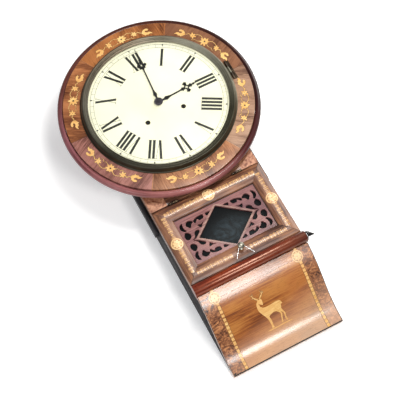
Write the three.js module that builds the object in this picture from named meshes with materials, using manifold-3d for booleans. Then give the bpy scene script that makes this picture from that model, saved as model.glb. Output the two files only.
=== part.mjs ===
// A drop dial wall clock with an eight-day striking movement.
// Millimetres, +Z up. The clock hangs on a wall in the plane y = 0 and its dial faces -Y.
// The origin is on the wall, straight behind the centre of the dial.
// A distance named "from the wall" is measured forward, so it lies at y = -distance.
import * as THREE from "three";
import { mergeVertices } from "three/addons/utils/BufferGeometryUtils.js";
import Module from "manifold-3d";

const wasm = await Module();
wasm.setup();

// Clearances
const seat = 0.3; // between pieces that lie against each other
const running = 0.4; // round a shaft in its hole

// Case box
const boxWidth = 245;
const boardThickness = 10;
const backboardThickness = 10;
const boxCornerInset = 4.8; // of its upper corners inside the edge of the face ring
const trunkFromWall = 93; // front plane of the trunk
const frontThickness = 17.5; // top rail and door
const topRailHeight = 53;

// Ears beside the trunk, under the head
const earThickness = 8.5;
const earHeight = 136;
const earDrop = 32; // its foot below the seam over the door
const earChamfer = 3;
const earBackFromWall = 46;
const earFrontFromWall = 66;

// Door under the head
const seamDrop = 5.5; // seam over the door, and its hinge pins, below the face ring
const seamGap = 0.6;
const doorHeight = 173.6;
const stileWidth = 32;
const topMemberWidth = 34.5;
const bottomMemberWidth = 34.1;
const cushionRise = 5; // crown of the door's moulding
const mouldingEdgeFromWall = 92;
const rabbetWidth = 7;
const fretFromWall = 88; // front of the pierced panel
const fretThickness = 4;
const doorGlassThickness = 2;
const windowWidth = 120; // diamond window, corner to corner
const windowHeight = 94;
const windowDrop = 2; // its middle lies below the middle of the opening

// Door hinges
const hingeSpread = 145; // centre to centre
const hingeLength = 22.5;
const knuckleRadius = 2.3;
const hingePinRadius = 1;
const hingeAxisFromWall = 95.6;
const leafThickness = 1.2;
const leafDepth = 16;

// Knob and wire catch
const knobRise = 23.5; // above the bottom of the door
const knobRadius = 7;
const knobNeckRadius = 2.6;
const knobReach = 16; // from the moulding to the front of the knob
const catchWireRadius = 0.8;
const catchLegLength = 29;
const catchLegAngle = 41; // degrees from straight down
const catchLean = 3; // the wire sits a little round to one side

// Roll moulding and its finial
const rollRadius = 12.2;
const rollFromWall = 95;
const rollDrop = 13.9; // its middle below the door
const rollOverhang = 2; // past the sides, at each end
const rollFlatFromWall = 85;
const finialCollar = 2; // thickness
const finialCollarRadius = 9;
const finialLength = 18;
const finialRadius = 6.2;
const finialRise = 3; // root of the bud above the middle of the roll
const finialDroop = 7;
const railRise = 10.5; // top of the flat rail above the middle of the roll

// Ogee lower panel
const ogeeGap = 0.5; // under the roll
const ogeeHeight = 151.5;
const ogeeTopFromWall = 92;
const ogeeBottomFromWall = 9;
const ogeeThickness = 8.5;
const ogeeSway = 0.08; // share of its run that the S takes off above its middle and adds below
const ogeeFall = 0.07; // share of its run that it is ahead of a straight slope at its middle

// Head
const dialFromWall = 126;
const faceWidth = 35.5; // of the face ring outside the bezel
const dialSeatWidth = 7.4; // of the face ring under the edge of the dial
const faceRingStep = 3.2; // its face lies this far behind the dial
const rimWidth = 12.7; // of the moulding round the face ring
const rimRoundRadius = 7.3;
const rimRoundFromWall = 112.5;
const rimBackFromWall = 100;
const roundSteps = 48; // facets round the head's rings

// Bezel
const bezelWallWidth = 6.6; // from the ridge out to the foot
const bezelSlopeWidth = 10.8; // from the sight edge out to the ridge
const bezelRidgeHeight = 10; // above the dial
const sightLap = 6.8; // of the sight edge over the dial
const bezelLipHeight = 5.6;
const bezelWall = 1.6;
const glassLap = 3; // of the glass behind the sight edge
const glassThickness = 1.5;
const glassDome = 12;
const glassEdgeHeight = 2.9;
const bezelHingeLength = 47;
const bezelHingeStandOff = 2.6; // pin outside the bezel's foot
const bezelHingeHeight = -0.8; // pin above the dial plane
const bezelPlateWidth = 6;

// Dial and hands
const dialRadius = 152.4;
const dialThickness = 1.2;
const centreHoleRadius = 5.2;
const keyHoleRadius = 5;
const windingX = 40.9;
const windingZ = -32.2;
const hourHand = { length: 89.5, crossRadius: 67.5, crossReach: 8.8, stemWidth: 3, hubRadius: 7 };
const minuteHand = { length: 139.5, crossRadius: 95.5, crossReach: 7.4, stemWidth: 2.7, hubRadius: 6 };
const hourHandAngle = 86; // degrees clockwise from twelve
const minuteHandAngle = 4.9;
const handThickness = 0.8;
const hourHandHeight = 1.2; // above the dial
const minuteHandHeight = 2.6;
const bossRadius = 9;

// Movement
const frontPlateFromWall = 112; // its front face
const plateThickness = 1.8;
const plateSpacing = 34; // between the plates
const plateHalfWidth = 76;
const plateTop = 74;
const plateBottom = -70;
const pillarRadius = 3;
const pillarX = 68;
const battenWidth = 18;
const battenInset = 2; // from the box side
const wheelThickness = 1.5;
const greatWheelThickness = 2.2;
const greatTeeth = 39;
const secondTeeth = 36;
const centreTeeth = 45;
const thirdTeeth = 54;
const escapeTeeth = 42;
const pinionLeaves = 6;
const greatModule = 1.6;
const secondModule = 1.33;
const centreModule = 1.07;
const thirdModule = 0.76;
const escapeRadius = 16;
const motionWheelTeeth = 18;
const hourWheelTeeth = 24;
const motionModule = 1;
const minuteStudRadius = 0.9;
const windingArborRadius = 4;
const arborRadius = 1.5;
const centreArborRadius = 2;
const springOuterRadius = 26.5;
const springWidth = 17;
const springTurns = 5;
const springStrip = 0.8;

// Striking train
const strikeSecondTeeth = 36;
const strikeSecondModule = 1.2;
const strikeThirdTeeth = 30;
const strikeThirdModule = 1.04;
const flyRadius = 14;
const flyWidth = 9;
const liftingPins = 8;
const liftingPinLength = 2.3;
const hammerX = -68;
const hammerZ = 5;
const hammerReach = 132;
const hammerHeadRadius = 5;
const hammerHeadLength = 14;

// Gong
const gongX = -20;
const gongZ = -150;
const gongFromWall = 42;
const gongWireRadius = 1.5;
const gongOuterRadius = 38;
const gongInnerRadius = 9;
const gongTurns = 3;
const gongStandRadius = 7;

// Pendulum
const suspensionZ = 54;
const pendulumFromWall = 60;
const pendulumLength = 350; // from the suspension to the middle of the bob
const pendulumRodRadius = 1.3;
const bobRadius = 27;
const bobThickness = 16;
const ratingNutRadius = 5;

// Hanging plate
const hangerDrop = 40; // middle of the plate below the top of the case
const hangerWidth = 40;
const hangerHeight = 46;
const hangerThickness = 1.5;
const keyholeRadius = 5;
const keyholeSlotWidth = 5;
const keyholeSlotRise = 11;

// Finishes
const finish = (color, roughness, metalness) =>
  new THREE.MeshStandardMaterial({ color, roughness, metalness });
const walnut = () => finish(0x9a5a2c, 0.35, 0);
const mahogany = () => finish(0x5c1a14, 0.25, 0);
const burr = () => finish(0xa8683a, 0.4, 0);
const darkSide = () => finish(0x2b2420, 0.6, 0);
const pine = () => finish(0x8a6a45, 0.75, 0);
const fretWood = () => finish(0x8c5a50, 0.5, 0);
const agedBrass = () => finish(0x5a5a48, 0.4, 0.9);
const brass = () => finish(0xb08d4a, 0.35, 0.9);
const steel = () => finish(0x8b8f94, 0.35, 1);
const blackSteel = () => finish(0x16161a, 0.4, 0.6);
const iron = () => finish(0x2a2a2c, 0.7, 0.7);
const paint = () => finish(0xf6f2df, 0.45, 0);
const putty = () => finish(0xcfc7b4, 0.9, 0);
const glass = () => finish(0xdfe8e4, 0.05, 0);
const darkGlass = () => finish(0x1c2a2c, 0.08, 0);
const ebony = () => finish(0x0e0c0b, 0.3, 0);

// Solids

// A manifold solid of a closed geometry, turned the right way out.
function solidOf(geometry) {
  const bare = geometry.index ? geometry.toNonIndexed() : geometry;
  bare.deleteAttribute("normal");
  bare.deleteAttribute("uv");
  const merged = mergeVertices(bare, 1e-4);
  const triVerts = new Uint32Array(merged.index.array);
  const vertProperties = merged.attributes.position.array;
  const made = new wasm.Manifold(new wasm.Mesh({ numProp: 3, vertProperties, triVerts }));
  if (made.volume() > 0) return made;
  for (let i = 0; i < triVerts.length; i += 3) {
    const first = triVerts[i];
    triVerts[i] = triVerts[i + 1];
    triVerts[i + 1] = first;
  }
  return new wasm.Manifold(new wasm.Mesh({ numProp: 3, vertProperties, triVerts }));
}

function geometryOf(solid) {
  const mesh = solid.getMesh();
  const points = new Float32Array(mesh.numVert * 3);
  for (let i = 0; i < mesh.numVert; i++) {
    points.set(mesh.vertProperties.subarray(i * mesh.numProp, i * mesh.numProp + 3), i * 3);
  }
  const geometry = new THREE.BufferGeometry();
  geometry.setAttribute("position", new THREE.BufferAttribute(points, 3));
  geometry.setIndex(new THREE.BufferAttribute(mesh.triVerts, 1));
  return geometry;
}

const join = (...solids) => solids.reduce((whole, next) => whole.add(next));
const cut = (body, ...tools) => tools.reduce((left, tool) => left.subtract(tool), body);

function piece(name, solid, material) {
  const geometry = geometryOf(solid);
  geometry.computeVertexNormals();
  const mesh = new THREE.Mesh(geometry, material);
  mesh.name = name;
  return mesh;
}

// A block between two corners: x across, d from the wall, z up.
function block(x0, x1, d0, d1, z0, z1) {
  const geometry = new THREE.BoxGeometry(x1 - x0, d1 - d0, z1 - z0);
  geometry.translate((x0 + x1) / 2, -(d0 + d1) / 2, (z0 + z1) / 2);
  return solidOf(geometry);
}

// An outline drawn in x and z, as thick as the space between two distances from the wall.
function plate(shape, d0, d1, curveSegments = 12) {
  const options = { depth: d1 - d0, bevelEnabled: false, curveSegments };
  const geometry = new THREE.ExtrudeGeometry(shape, options);
  geometry.rotateX(Math.PI / 2);
  geometry.translate(0, -d0, 0);
  return solidOf(geometry);
}

// A section drawn in distance from the wall and z, run along x.
function runAcross(shape, x0, x1, curveSegments = 8) {
  const options = { depth: x1 - x0, bevelEnabled: false, curveSegments };
  const geometry = new THREE.ExtrudeGeometry(shape, options);
  const forward = new THREE.Vector3(0, -1, 0);
  const up = new THREE.Vector3(0, 0, 1);
  const across = new THREE.Vector3(-1, 0, 0);
  geometry.applyMatrix4(new THREE.Matrix4().makeBasis(forward, up, across));
  geometry.translate(x1, 0, 0);
  return solidOf(geometry);
}

// A section drawn in x and distance from the wall, run along z.
function runUpright(shape, z0, z1, curveSegments = 8) {
  const options = { depth: z1 - z0, bevelEnabled: false, curveSegments };
  const geometry = new THREE.ExtrudeGeometry(shape, options);
  const across = new THREE.Vector3(1, 0, 0);
  const forward = new THREE.Vector3(0, -1, 0);
  const down = new THREE.Vector3(0, 0, -1);
  geometry.applyMatrix4(new THREE.Matrix4().makeBasis(across, forward, down));
  geometry.translate(0, 0, z1);
  return solidOf(geometry);
}

// A form turned about the line through (x, z) that runs out from the wall.
// Its profile is a list of [radius, distance from the wall].
function turned(profile, steps, x = 0, z = 0) {
  const points = profile.map(([r, d]) => new THREE.Vector2(r, -d));
  const geometry = new THREE.LatheGeometry(points, steps);
  geometry.translate(x, 0, z);
  return solidOf(geometry);
}

const turnedRing = (profile, steps, x = 0, z = 0) => turned([...profile, profile[0]], steps, x, z);

// A round rod that runs out from the wall.
function rod(x, z, radius, d0, d1, sides = 10) {
  const geometry = new THREE.CylinderGeometry(radius, radius, d1 - d0, sides);
  geometry.translate(x, -(d0 + d1) / 2, z);
  return solidOf(geometry);
}

// A round rod along x or along z.
function barAcross(x0, x1, radius, d, z, sides = 10) {
  const geometry = new THREE.CylinderGeometry(radius, radius, x1 - x0, sides);
  geometry.rotateZ(Math.PI / 2);
  geometry.translate((x0 + x1) / 2, -d, z);
  return solidOf(geometry);
}

function barUpright(x, d, z0, z1, radius, sides = 10) {
  const geometry = new THREE.CylinderGeometry(radius, radius, z1 - z0, sides);
  geometry.rotateX(Math.PI / 2);
  geometry.translate(x, -d, (z0 + z1) / 2);
  return solidOf(geometry);
}

// A wire of round section along a curve.
function wire(curve, radius, steps, sides) {
  const section = new THREE.Shape();
  for (let i = 0; i < sides; i++) {
    const a = (2 * Math.PI * i) / sides;
    const x = radius * Math.cos(a);
    const y = radius * Math.sin(a);
    if (i === 0) section.moveTo(x, y);
    else section.lineTo(x, y);
  }
  section.closePath();
  const options = { steps, bevelEnabled: false, extrudePath: curve };
  return solidOf(new THREE.ExtrudeGeometry(section, options));
}

function outline(points) {
  return new THREE.Shape(points.map(([x, z]) => new THREE.Vector2(x, z)));
}

function roundHole(x, z, radius, sides) {
  const hole = new THREE.Path();
  for (let i = 0; i <= sides; i++) {
    const a = (-2 * Math.PI * i) / sides;
    const px = x + radius * Math.cos(a);
    const pz = z + radius * Math.sin(a);
    if (i === 0) hole.moveTo(px, pz);
    else hole.lineTo(px, pz);
  }
  return hole;
}

// The least gap between turns of a winding whose points follow one another.
function leastTurnGap(points, turnSteps, width) {
  let least = Infinity;
  for (let i = 0; i < points.length; i++) {
    for (let j = i + Math.floor(turnSteps / 2); j < points.length; j++) {
      least = Math.min(least, points[i].distanceTo(points[j]) - width);
    }
  }
  return least;
}

// Radii of the head, from the dial outwards
const faceRingBore = dialRadius - dialSeatWidth;
const bezelSightRadius = dialRadius - sightLap;
const glassRadius = bezelSightRadius + glassLap;
const bezelRidgeRadius = bezelSightRadius + bezelSlopeWidth;
const bezelFootRadius = bezelRidgeRadius + bezelWallWidth;
const bezelHingeX = bezelFootRadius + bezelHingeStandOff;
const faceRingRadius = bezelFootRadius + faceWidth;
const rimOuterRadius = faceRingRadius + rimWidth;

// Case

const boxHalf = boxWidth / 2;
const boxTop = Math.sqrt((faceRingRadius - boxCornerInset) ** 2 - boxHalf ** 2);
const hangerZ = boxTop - hangerDrop;
const hingeSeam = -(faceRingRadius + seamDrop);
const earBottom = hingeSeam - earDrop;
const earTop = earBottom + earHeight;
const boxInner = boxHalf - boardThickness;
const frontHalf = boxHalf;
const boxFrontFromWall = trunkFromWall - frontThickness - seat; // behind the rail and the door
const topRailBottom = hingeSeam + seamGap / 2;
const topRailTop = topRailBottom + topRailHeight;
const doorTop = hingeSeam - seamGap / 2;
const doorBottom = doorTop - doorHeight;
const rollHeight = doorBottom - rollDrop;
const ogeeTop = rollHeight - rollRadius - ogeeGap;
const ogeeBottom = ogeeTop - ogeeHeight;

// Outer line of the ogee, as [distance from the wall, height], at a share of its height.
function ogeePoint(share) {
  const half = Math.PI * share;
  const run = share + ogeeFall * Math.sin(half) - ogeeSway * Math.sin(2 * half);
  const d = ogeeTopFromWall + (ogeeBottomFromWall - ogeeTopFromWall) * run;
  return [d, ogeeTop + (ogeeBottom - ogeeTop) * share];
}

// The same line moved back into the panel, square to itself.
function ogeeOffset(share, depth) {
  const step = 0.01;
  const [d0, z0] = ogeePoint(Math.max(share - step, 0));
  const [d1, z1] = ogeePoint(Math.min(share + step, 1));
  const length = Math.hypot(d1 - d0, z1 - z0);
  const [d, z] = ogeePoint(share);
  return [d + (depth * (z1 - z0)) / length, z - (depth * (d1 - d0)) / length];
}

function ogeeLine(depth, steps, lastShare = 1) {
  const points = [];
  for (let i = 0; i <= steps; i++) points.push(ogeeOffset((lastShare * i) / steps, depth));
  return points;
}

// Share of the ogee's height where its inner line comes within a distance of the wall.
function ogeeShareAt(distance, depth) {
  let share = 0;
  while (share < 1 && ogeeOffset(share, depth)[0] > distance) share += 0.002;
  return share;
}

function lowerPanel() {
  const outer = ogeeLine(0, 16);
  const inner = ogeeLine(ogeeThickness, 16).filter(([, z]) => z < ogeeTop);
  const top = [ogeeOffset(0, ogeeThickness)[0] - 1, ogeeTop];
  return runAcross(outline([...outer, ...inner.reverse(), top]), -frontHalf, frontHalf);
}

function caseSide(side) {
  const clear = ogeeThickness + seat;
  const last = ogeeShareAt(3, clear);
  const curve = ogeeLine(clear, 12, last).filter(([d]) => d < boxFrontFromWall);
  const foot = curve[curve.length - 1][1];
  const shape = outline([
    [0, boxTop],
    [0, foot],
    ...curve.reverse(),
    [boxFrontFromWall, ogeeTop],
    [boxFrontFromWall, topRailTop + seat],
    [trunkFromWall, topRailTop + seat],
    [trunkFromWall, boxTop],
  ]);
  const x0 = side < 0 ? -boxHalf : boxInner;
  return runAcross(shape, x0, x0 + boardThickness);
}

function backboard() {
  const clear = ogeeThickness + seat;
  const half = boxInner - seat;
  const top = boxTop - boardThickness - seat;
  const section = outline([
    [0, top],
    ogeeOffset(ogeeShareAt(3, clear), clear).map((v, i) => (i ? v : 0)),
    ogeeOffset(ogeeShareAt(backboardThickness, clear), clear).map((v, i) => (i ? v : backboardThickness)),
    [backboardThickness, top],
  ]);
  const board = runAcross(section, -half, half);
  const pocket = block(
    -hangerWidth / 2 - seat,
    hangerWidth / 2 + seat,
    -1,
    hangerThickness + seat,
    hangerZ - hangerHeight / 2 - seat,
    hangerZ + hangerHeight / 2 + seat,
  );
  const nailRoom = keyholeRadius + 2;
  const room = block(
    -nailRoom,
    nailRoom,
    -1,
    backboardThickness + 1,
    hangerZ - nailRoom,
    hangerZ + keyholeSlotRise + nailRoom / 2,
  );
  return cut(board, pocket, room);
}

function hangerPlate() {
  const w = hangerWidth / 2;
  const h = hangerHeight / 2;
  const shape = outline([[-w, hangerZ - h], [w, hangerZ - h], [w, hangerZ + h], [-w, hangerZ + h]]);
  const slot = keyholeSlotWidth / 2;
  const open = Math.asin(slot / keyholeRadius);
  const keyhole = new THREE.Path();
  keyhole.moveTo(slot, hangerZ + keyholeRadius * Math.cos(open));
  keyhole.lineTo(slot, hangerZ + keyholeSlotRise);
  keyhole.absarc(0, hangerZ + keyholeSlotRise, slot, 0, Math.PI, false);
  keyhole.lineTo(-slot, hangerZ + keyholeRadius * Math.cos(open));
  keyhole.absarc(0, hangerZ, keyholeRadius, Math.PI / 2 + open, Math.PI * 2.5 - open, false);
  shape.holes.push(keyhole);
  return plate(shape, 0, hangerThickness, 6);
}

function ear(side) {
  const shape = outline([
    [earBackFromWall, earTop],
    [earBackFromWall, earBottom],
    [earFrontFromWall - earChamfer, earBottom],
    [earFrontFromWall, earBottom + earChamfer],
    [earFrontFromWall, earTop],
  ]);
  const inner = boxHalf + seat;
  const x0 = side < 0 ? -inner - earThickness : inner;
  return runAcross(shape, x0, x0 + earThickness);
}

function leafPocket(x, z0, z1) {
  const half = hingeLength / 2 + seat;
  return block(x - half, x + half, hingeAxisFromWall - leafDepth - seat, trunkFromWall + cushionRise, z0, z1);
}

function topRail() {
  const rail = block(
    -frontHalf,
    frontHalf,
    boxFrontFromWall + seat,
    trunkFromWall,
    topRailBottom,
    topRailTop,
  );
  const pockets = [-1, 1].map((side) =>
    leafPocket((side * hingeSpread) / 2, topRailBottom - 1, topRailBottom + leafThickness + seat),
  );
  return cut(rail, ...pockets);
}

// Half-round nosing with the flat rail behind it, which closes the box between door and panel.
function rollMoulding() {
  const half = frontHalf + rollOverhang;
  const bar = barAcross(-half, half, rollRadius, rollFromWall, rollHeight, 24);
  const back = block(-half - 1, half + 1, 0, rollFlatFromWall, rollHeight - 20, rollHeight + 20);
  const railBack = boxFrontFromWall + seat;
  const railTop = rollHeight + railRise;
  const rail = block(-frontHalf, frontHalf, railBack, rollFlatFromWall + 1, ogeeTop + seat, railTop);
  return join(cut(bar, back), rail);
}

// A finial on the right-hand end of the roll: a turned collar and a bud that droops to its point.
function rollFinial() {
  const start = frontHalf + rollOverhang + seat;
  const profile = [
    [0, 0],
    [finialCollarRadius, 0],
    [finialCollarRadius, finialCollar],
    [finialRadius * 0.8, finialCollar + 0.4],
    [finialRadius, finialCollar + 2.5],
    [finialRadius * 0.9, finialCollar + 6],
    [finialRadius * 0.6, finialCollar + 10],
    [finialRadius * 0.25, finialLength - 1.5],
    [0, finialLength],
  ];
  const points = profile.map(([r, x]) => new THREE.Vector2(r, x));
  const geometry = new THREE.LatheGeometry(points, 12);
  geometry.rotateZ(-Math.PI / 2);
  const position = geometry.attributes.position;
  for (let i = 0; i < position.count; i++) {
    const past = Math.max(position.getX(i) - finialCollar, 0) / (finialLength - finialCollar);
    const rise = past > 0 ? finialRise - finialDroop * past ** 1.5 : 0;
    position.setZ(i, position.getZ(i) + rise);
  }
  geometry.translate(start, -rollFromWall, rollHeight);
  return solidOf(geometry);
}

function caseTop() {
  const half = boxInner - seat;
  return block(-half, half, 0, trunkFromWall, boxTop - boardThickness, boxTop);
}

// Battens that carry the movement, from the back board to the back plate.
const backPlateBack = frontPlateFromWall - 2 * plateThickness - plateSpacing;

function batten(side) {
  const outer = boxInner - battenInset;
  const inner = outer - battenWidth;
  const x0 = side < 0 ? -outer : inner;
  const x1 = side < 0 ? -inner : outer;
  return block(x0, x1, backboardThickness + seat, backPlateBack - seat, plateBottom - 4, plateTop + 4);
}

// Head

const faceFromWall = dialFromWall - faceRingStep;

function headRing() {
  const back = trunkFromWall + seat;
  return turnedRing(
    [
      [faceRingBore, back],
      [faceRingRadius, back],
      [faceRingRadius, faceFromWall - 1.2],
      [faceRingRadius - 1, faceFromWall],
      [faceRingBore, faceFromWall],
    ],
    roundSteps,
  );
}

// The mahogany moulding round the face ring: a flat back, a round front and a small quirk inside it.
function rimMoulding() {
  const inner = faceRingRadius + seat;
  const centre = rimOuterRadius - rimRoundRadius;
  const profile = [
    [inner, rimBackFromWall],
    [rimOuterRadius - 7, rimBackFromWall],
    [rimOuterRadius - 3.2, rimBackFromWall + 3.5],
  ];
  for (let i = 0; i <= 4; i++) {
    const a = THREE.MathUtils.degToRad(-22 + (142 * i) / 4);
    profile.push([centre + rimRoundRadius * Math.cos(a), rimRoundFromWall + rimRoundRadius * Math.sin(a)]);
  }
  profile.push([inner, rimRoundFromWall + 3.6]);
  return turnedRing(profile, roundSteps);
}

const aboveDial = (height) => dialFromWall + height;
const clearOfAll = 2 * dialFromWall; // how far a cut runs out from the wall to pass through everything

function dialPlate() {
  const disc = turned(
    [
      [0, aboveDial(-dialThickness)],
      [dialRadius - 1.5, aboveDial(-dialThickness)],
      [dialRadius - 1.5, faceFromWall + seat],
      [dialRadius, faceFromWall + seat],
      [dialRadius, aboveDial(0)],
      [0, aboveDial(0)],
    ],
    roundSteps,
  );
  const holes = [
    rod(0, 0, centreHoleRadius, 0, clearOfAll, 16),
    rod(windingX, windingZ, keyHoleRadius, 0, clearOfAll, 16),
    rod(-windingX, windingZ, keyHoleRadius, 0, clearOfAll, 16),
  ];
  return cut(disc, ...holes);
}

// Spun brass: foot bead, steep outer wall, ridge, and a hollow slope down to the sight edge.
function bezelRing() {
  const wall = bezelWall;
  const foot = faceFromWall + seat;
  return turnedRing(
    [
      [bezelFootRadius - 4, foot],
      [bezelFootRadius, foot],
      [bezelFootRadius, foot + 1.8],
      [bezelFootRadius - 2.2, foot + 2.8],
      [bezelRidgeRadius + 2.2, aboveDial(bezelRidgeHeight - 1.4)],
      [bezelRidgeRadius + 0.9, aboveDial(bezelRidgeHeight)],
      [bezelRidgeRadius - 0.6, aboveDial(bezelRidgeHeight)],
      [bezelRidgeRadius - 4.6, aboveDial(bezelLipHeight + 2.8)],
      [bezelSightRadius + 3.2, aboveDial(bezelLipHeight + 1)],
      [bezelSightRadius, aboveDial(bezelLipHeight)],
      [bezelSightRadius, aboveDial(bezelLipHeight - 0.5)],
      [bezelSightRadius + 3.4, aboveDial(bezelLipHeight - 0.5)],
      [bezelRidgeRadius - 3.4, aboveDial(bezelLipHeight + 1.6)],
      [bezelRidgeRadius + 0.4, aboveDial(bezelRidgeHeight - wall)],
      [bezelFootRadius - 4, foot + 2.4],
    ],
    roundSteps,
  );
}

function bezelGlass() {
  const dome = (r) => glassDome * (1 - (r / glassRadius) ** 2);
  const radii = [0, 0.5, 1].map((share) => share * glassRadius);
  const front = radii.map((r) => [r, aboveDial(glassEdgeHeight + glassThickness + dome(r))]);
  const back = radii.map((r) => [r, aboveDial(glassEdgeHeight + dome(r))]).reverse();
  return turned([...front, ...back], roundSteps);
}

// Bead behind the edge of the glass, let into the hollow of the bezel.
function glazingRing() {
  const round = glassRadius + seat;
  const outer = bezelRidgeRadius - 2.8;
  const back = aboveDial(glassEdgeHeight - 1.6);
  return turnedRing(
    [
      [glassRadius - 2, back],
      [outer, back],
      [outer, aboveDial(bezelLipHeight + 1.2)],
      [round, aboveDial(glassEdgeHeight) - seat],
      [glassRadius - 2, aboveDial(glassEdgeHeight) - seat],
    ],
    roundSteps,
  );
}

// Hinge knuckles along z about (x, d): the fixed half is the two ends and the pin.
function uprightKnuckles(x, d, length, fixed) {
  const end = length / 2;
  const middle = length / 6;
  if (!fixed) {
    const barrel = barUpright(x, d, -middle + seat, middle - seat, knuckleRadius, 12);
    return cut(barrel, barUpright(x, d, -end, end, hingePinRadius + running, 10));
  }
  return join(
    barUpright(x, d, -end, -middle, knuckleRadius, 12),
    barUpright(x, d, middle, end, knuckleRadius, 12),
    barUpright(x, d, -middle - 1, middle + 1, hingePinRadius, 8),
  );
}

const bezelPinFromWall = aboveDial(bezelHingeHeight);

function bezelHingePlate() {
  const back = faceFromWall + seat;
  const front = back + 1;
  const end = bezelHingeLength / 2;
  const middle = bezelHingeLength / 6;
  const flap = block(bezelHingeX + 2.6, bezelHingeX + 2.6 + bezelPlateWidth, back, front, -end, end);
  const arms = [-1, 1].map((side) => {
    const z0 = side < 0 ? -end : middle;
    return block(bezelHingeX, bezelHingeX + 3, back, front + 0.2, z0, z0 + end - middle);
  });
  return join(uprightKnuckles(bezelHingeX, bezelPinFromWall, bezelHingeLength, true), flap, ...arms);
}

function bezelHingeLeaf() {
  const half = bezelHingeLength / 6 - seat;
  const top = faceFromWall + seat + 1.4;
  const flap = block(bezelFootRadius - 1.8, bezelHingeX - knuckleRadius + 0.6, top, top + 1, -half, half);
  const linkEnd = bezelHingeX - hingePinRadius - running - 0.2;
  const link = block(bezelHingeX - knuckleRadius, linkEnd, top, top + 1, -half, half);
  return join(uprightKnuckles(bezelHingeX, bezelPinFromWall, bezelHingeLength, false), flap, link);
}

// Door

const doorX = frontHalf;
const memberBack = boxFrontFromWall + seat;

// Section of a door member: u runs from its outer edge to its inner edge.
function memberSection(width, place) {
  const shape = new THREE.Shape();
  const at = (u, d) => place(u, d);
  shape.moveTo(...at(0, memberBack));
  shape.lineTo(...at(0, mouldingEdgeFromWall));
  const crown = at(width / 2, mouldingEdgeFromWall + 2 * cushionRise);
  shape.quadraticCurveTo(...crown, ...at(width, mouldingEdgeFromWall));
  shape.lineTo(...at(width, fretFromWall + seat));
  shape.lineTo(...at(width - rabbetWidth, fretFromWall + seat));
  shape.lineTo(...at(width - rabbetWidth, memberBack));
  shape.closePath();
  return shape;
}

// Mitred ends: the member is kept inside a trapezium drawn in x and z.
function mitred(solid, corners) {
  return solid.intersect(plate(outline(corners), 0, dialFromWall));
}

function doorRail(isTop) {
  const width = isTop ? topMemberWidth : bottomMemberWidth;
  const outer = isTop ? doorTop : doorBottom;
  const inward = isTop ? -1 : 1;
  const place = (u, d) => [d, outer + inward * u];
  const rail = runAcross(memberSection(width, place), -doorX, doorX);
  const gap = seat / 2;
  const cornersOut = doorX - gap;
  const cornersIn = doorX - stileWidth - gap;
  const inner = outer + inward * width;
  const mitre = mitred(rail, [
    [-cornersOut, outer],
    [cornersOut, outer],
    [cornersIn, inner],
    [-cornersIn, inner],
  ]);
  if (isTop) {
    const pockets = [-1, 1].map((side) =>
      leafPocket((side * hingeSpread) / 2, doorTop - leafThickness - seat, doorTop + 1),
    );
    return cut(mitre, ...pockets);
  }
  return cut(mitre, rod(0, knobZ, knobNeckRadius + running, 0, dialFromWall, 14));
}

function doorStile(side) {
  const place = (u, d) => [side * (doorX - u), d];
  const stile = runUpright(memberSection(stileWidth, place), doorBottom, doorTop);
  const gap = seat / 2;
  const inner = side * (doorX - stileWidth);
  const outer = side * doorX;
  return mitred(stile, [
    [outer, doorTop - gap],
    [outer, doorBottom + gap],
    [inner, doorBottom + bottomMemberWidth + gap],
    [inner, doorTop - topMemberWidth - gap],
  ]);
}

const openingHalf = doorX - stileWidth;
const openingTop = doorTop - topMemberWidth;
const openingBottom = doorBottom + bottomMemberWidth;
const windowZ = (openingTop + openingBottom) / 2 - windowDrop;
const knobZ = doorBottom + knobRise;

// One quarter of the fretwork, as closed runs of smooth curves.
// Each point is measured across and up from the middle of the window, in hundredths of half the
// width and half the height of the opening.
const fretCuts = [
  // sliver beside the upper corner of the window
  [[16, 81.5], [27.5, 81.5], [28.5, 74.5], [25, 70]],
  // slot under the top edge
  [[34.5, 79], [45.5, 82], [57.5, 80.5], [55, 70.5], [46.5, 68], [37.5, 72.5]],
  // kidney
  [[61.5, 81], [69.5, 83], [77.5, 79], [76, 66.5], [70.5, 61], [67, 68.5], [62, 72.5]],
  // crescent in the outer corner
  [[83, 83], [89, 81], [91.5, 68.5], [90.5, 54.5], [86, 47.5], [86, 63], [84.5, 72.5]],
  // lens on the outer edge
  [[79.5, 36], [86, 39], [91.5, 31.5], [90.5, 17], [85, 9.5], [80, 19]],
  // pointed leaf that runs down to the side corner of the window
  [[54.5, 32.5], [59.5, 37], [67.5, 32.5], [73.5, 19], [79, 4.5], [69, 13.5], [59.5, 25]],
  // small three-cornered cut between leaf and slot
  [[40.5, 50.5], [52.5, 52.5], [50.5, 43], [46.5, 41]],
];

function smoothHole(points, mirrorX, mirrorZ) {
  const across = (mirrorX * openingHalf) / 100;
  const up = (mirrorZ * (openingTop - openingBottom)) / 200;
  const placed = points.map(([x, z]) => new THREE.Vector3(across * x, windowZ + up * z, 0));
  const curve = new THREE.CatmullRomCurve3(placed, true, "centripetal");
  const steps = Math.round(points.length * 1.6);
  return new THREE.Path(curve.getPoints(steps).map((p) => new THREE.Vector2(p.x, p.y)));
}

function fretPanel() {
  const reach = rabbetWidth - seat;
  const half = openingHalf + reach;
  const shape = outline([
    [-half, openingBottom - reach],
    [half, openingBottom - reach],
    [half, openingTop + reach],
    [-half, openingTop + reach],
  ]);
  const diamond = new THREE.Path();
  diamond.moveTo(0, windowZ + windowHeight / 2);
  diamond.lineTo(-windowWidth / 2, windowZ);
  diamond.lineTo(0, windowZ - windowHeight / 2);
  diamond.lineTo(windowWidth / 2, windowZ);
  diamond.closePath();
  shape.holes.push(diamond);
  for (const mirrorX of [-1, 1]) {
    for (const mirrorZ of [-1, 1]) {
      for (const points of fretCuts) shape.holes.push(smoothHole(points, mirrorX, mirrorZ));
    }
  }
  return plate(shape, fretFromWall - fretThickness, fretFromWall);
}

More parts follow.
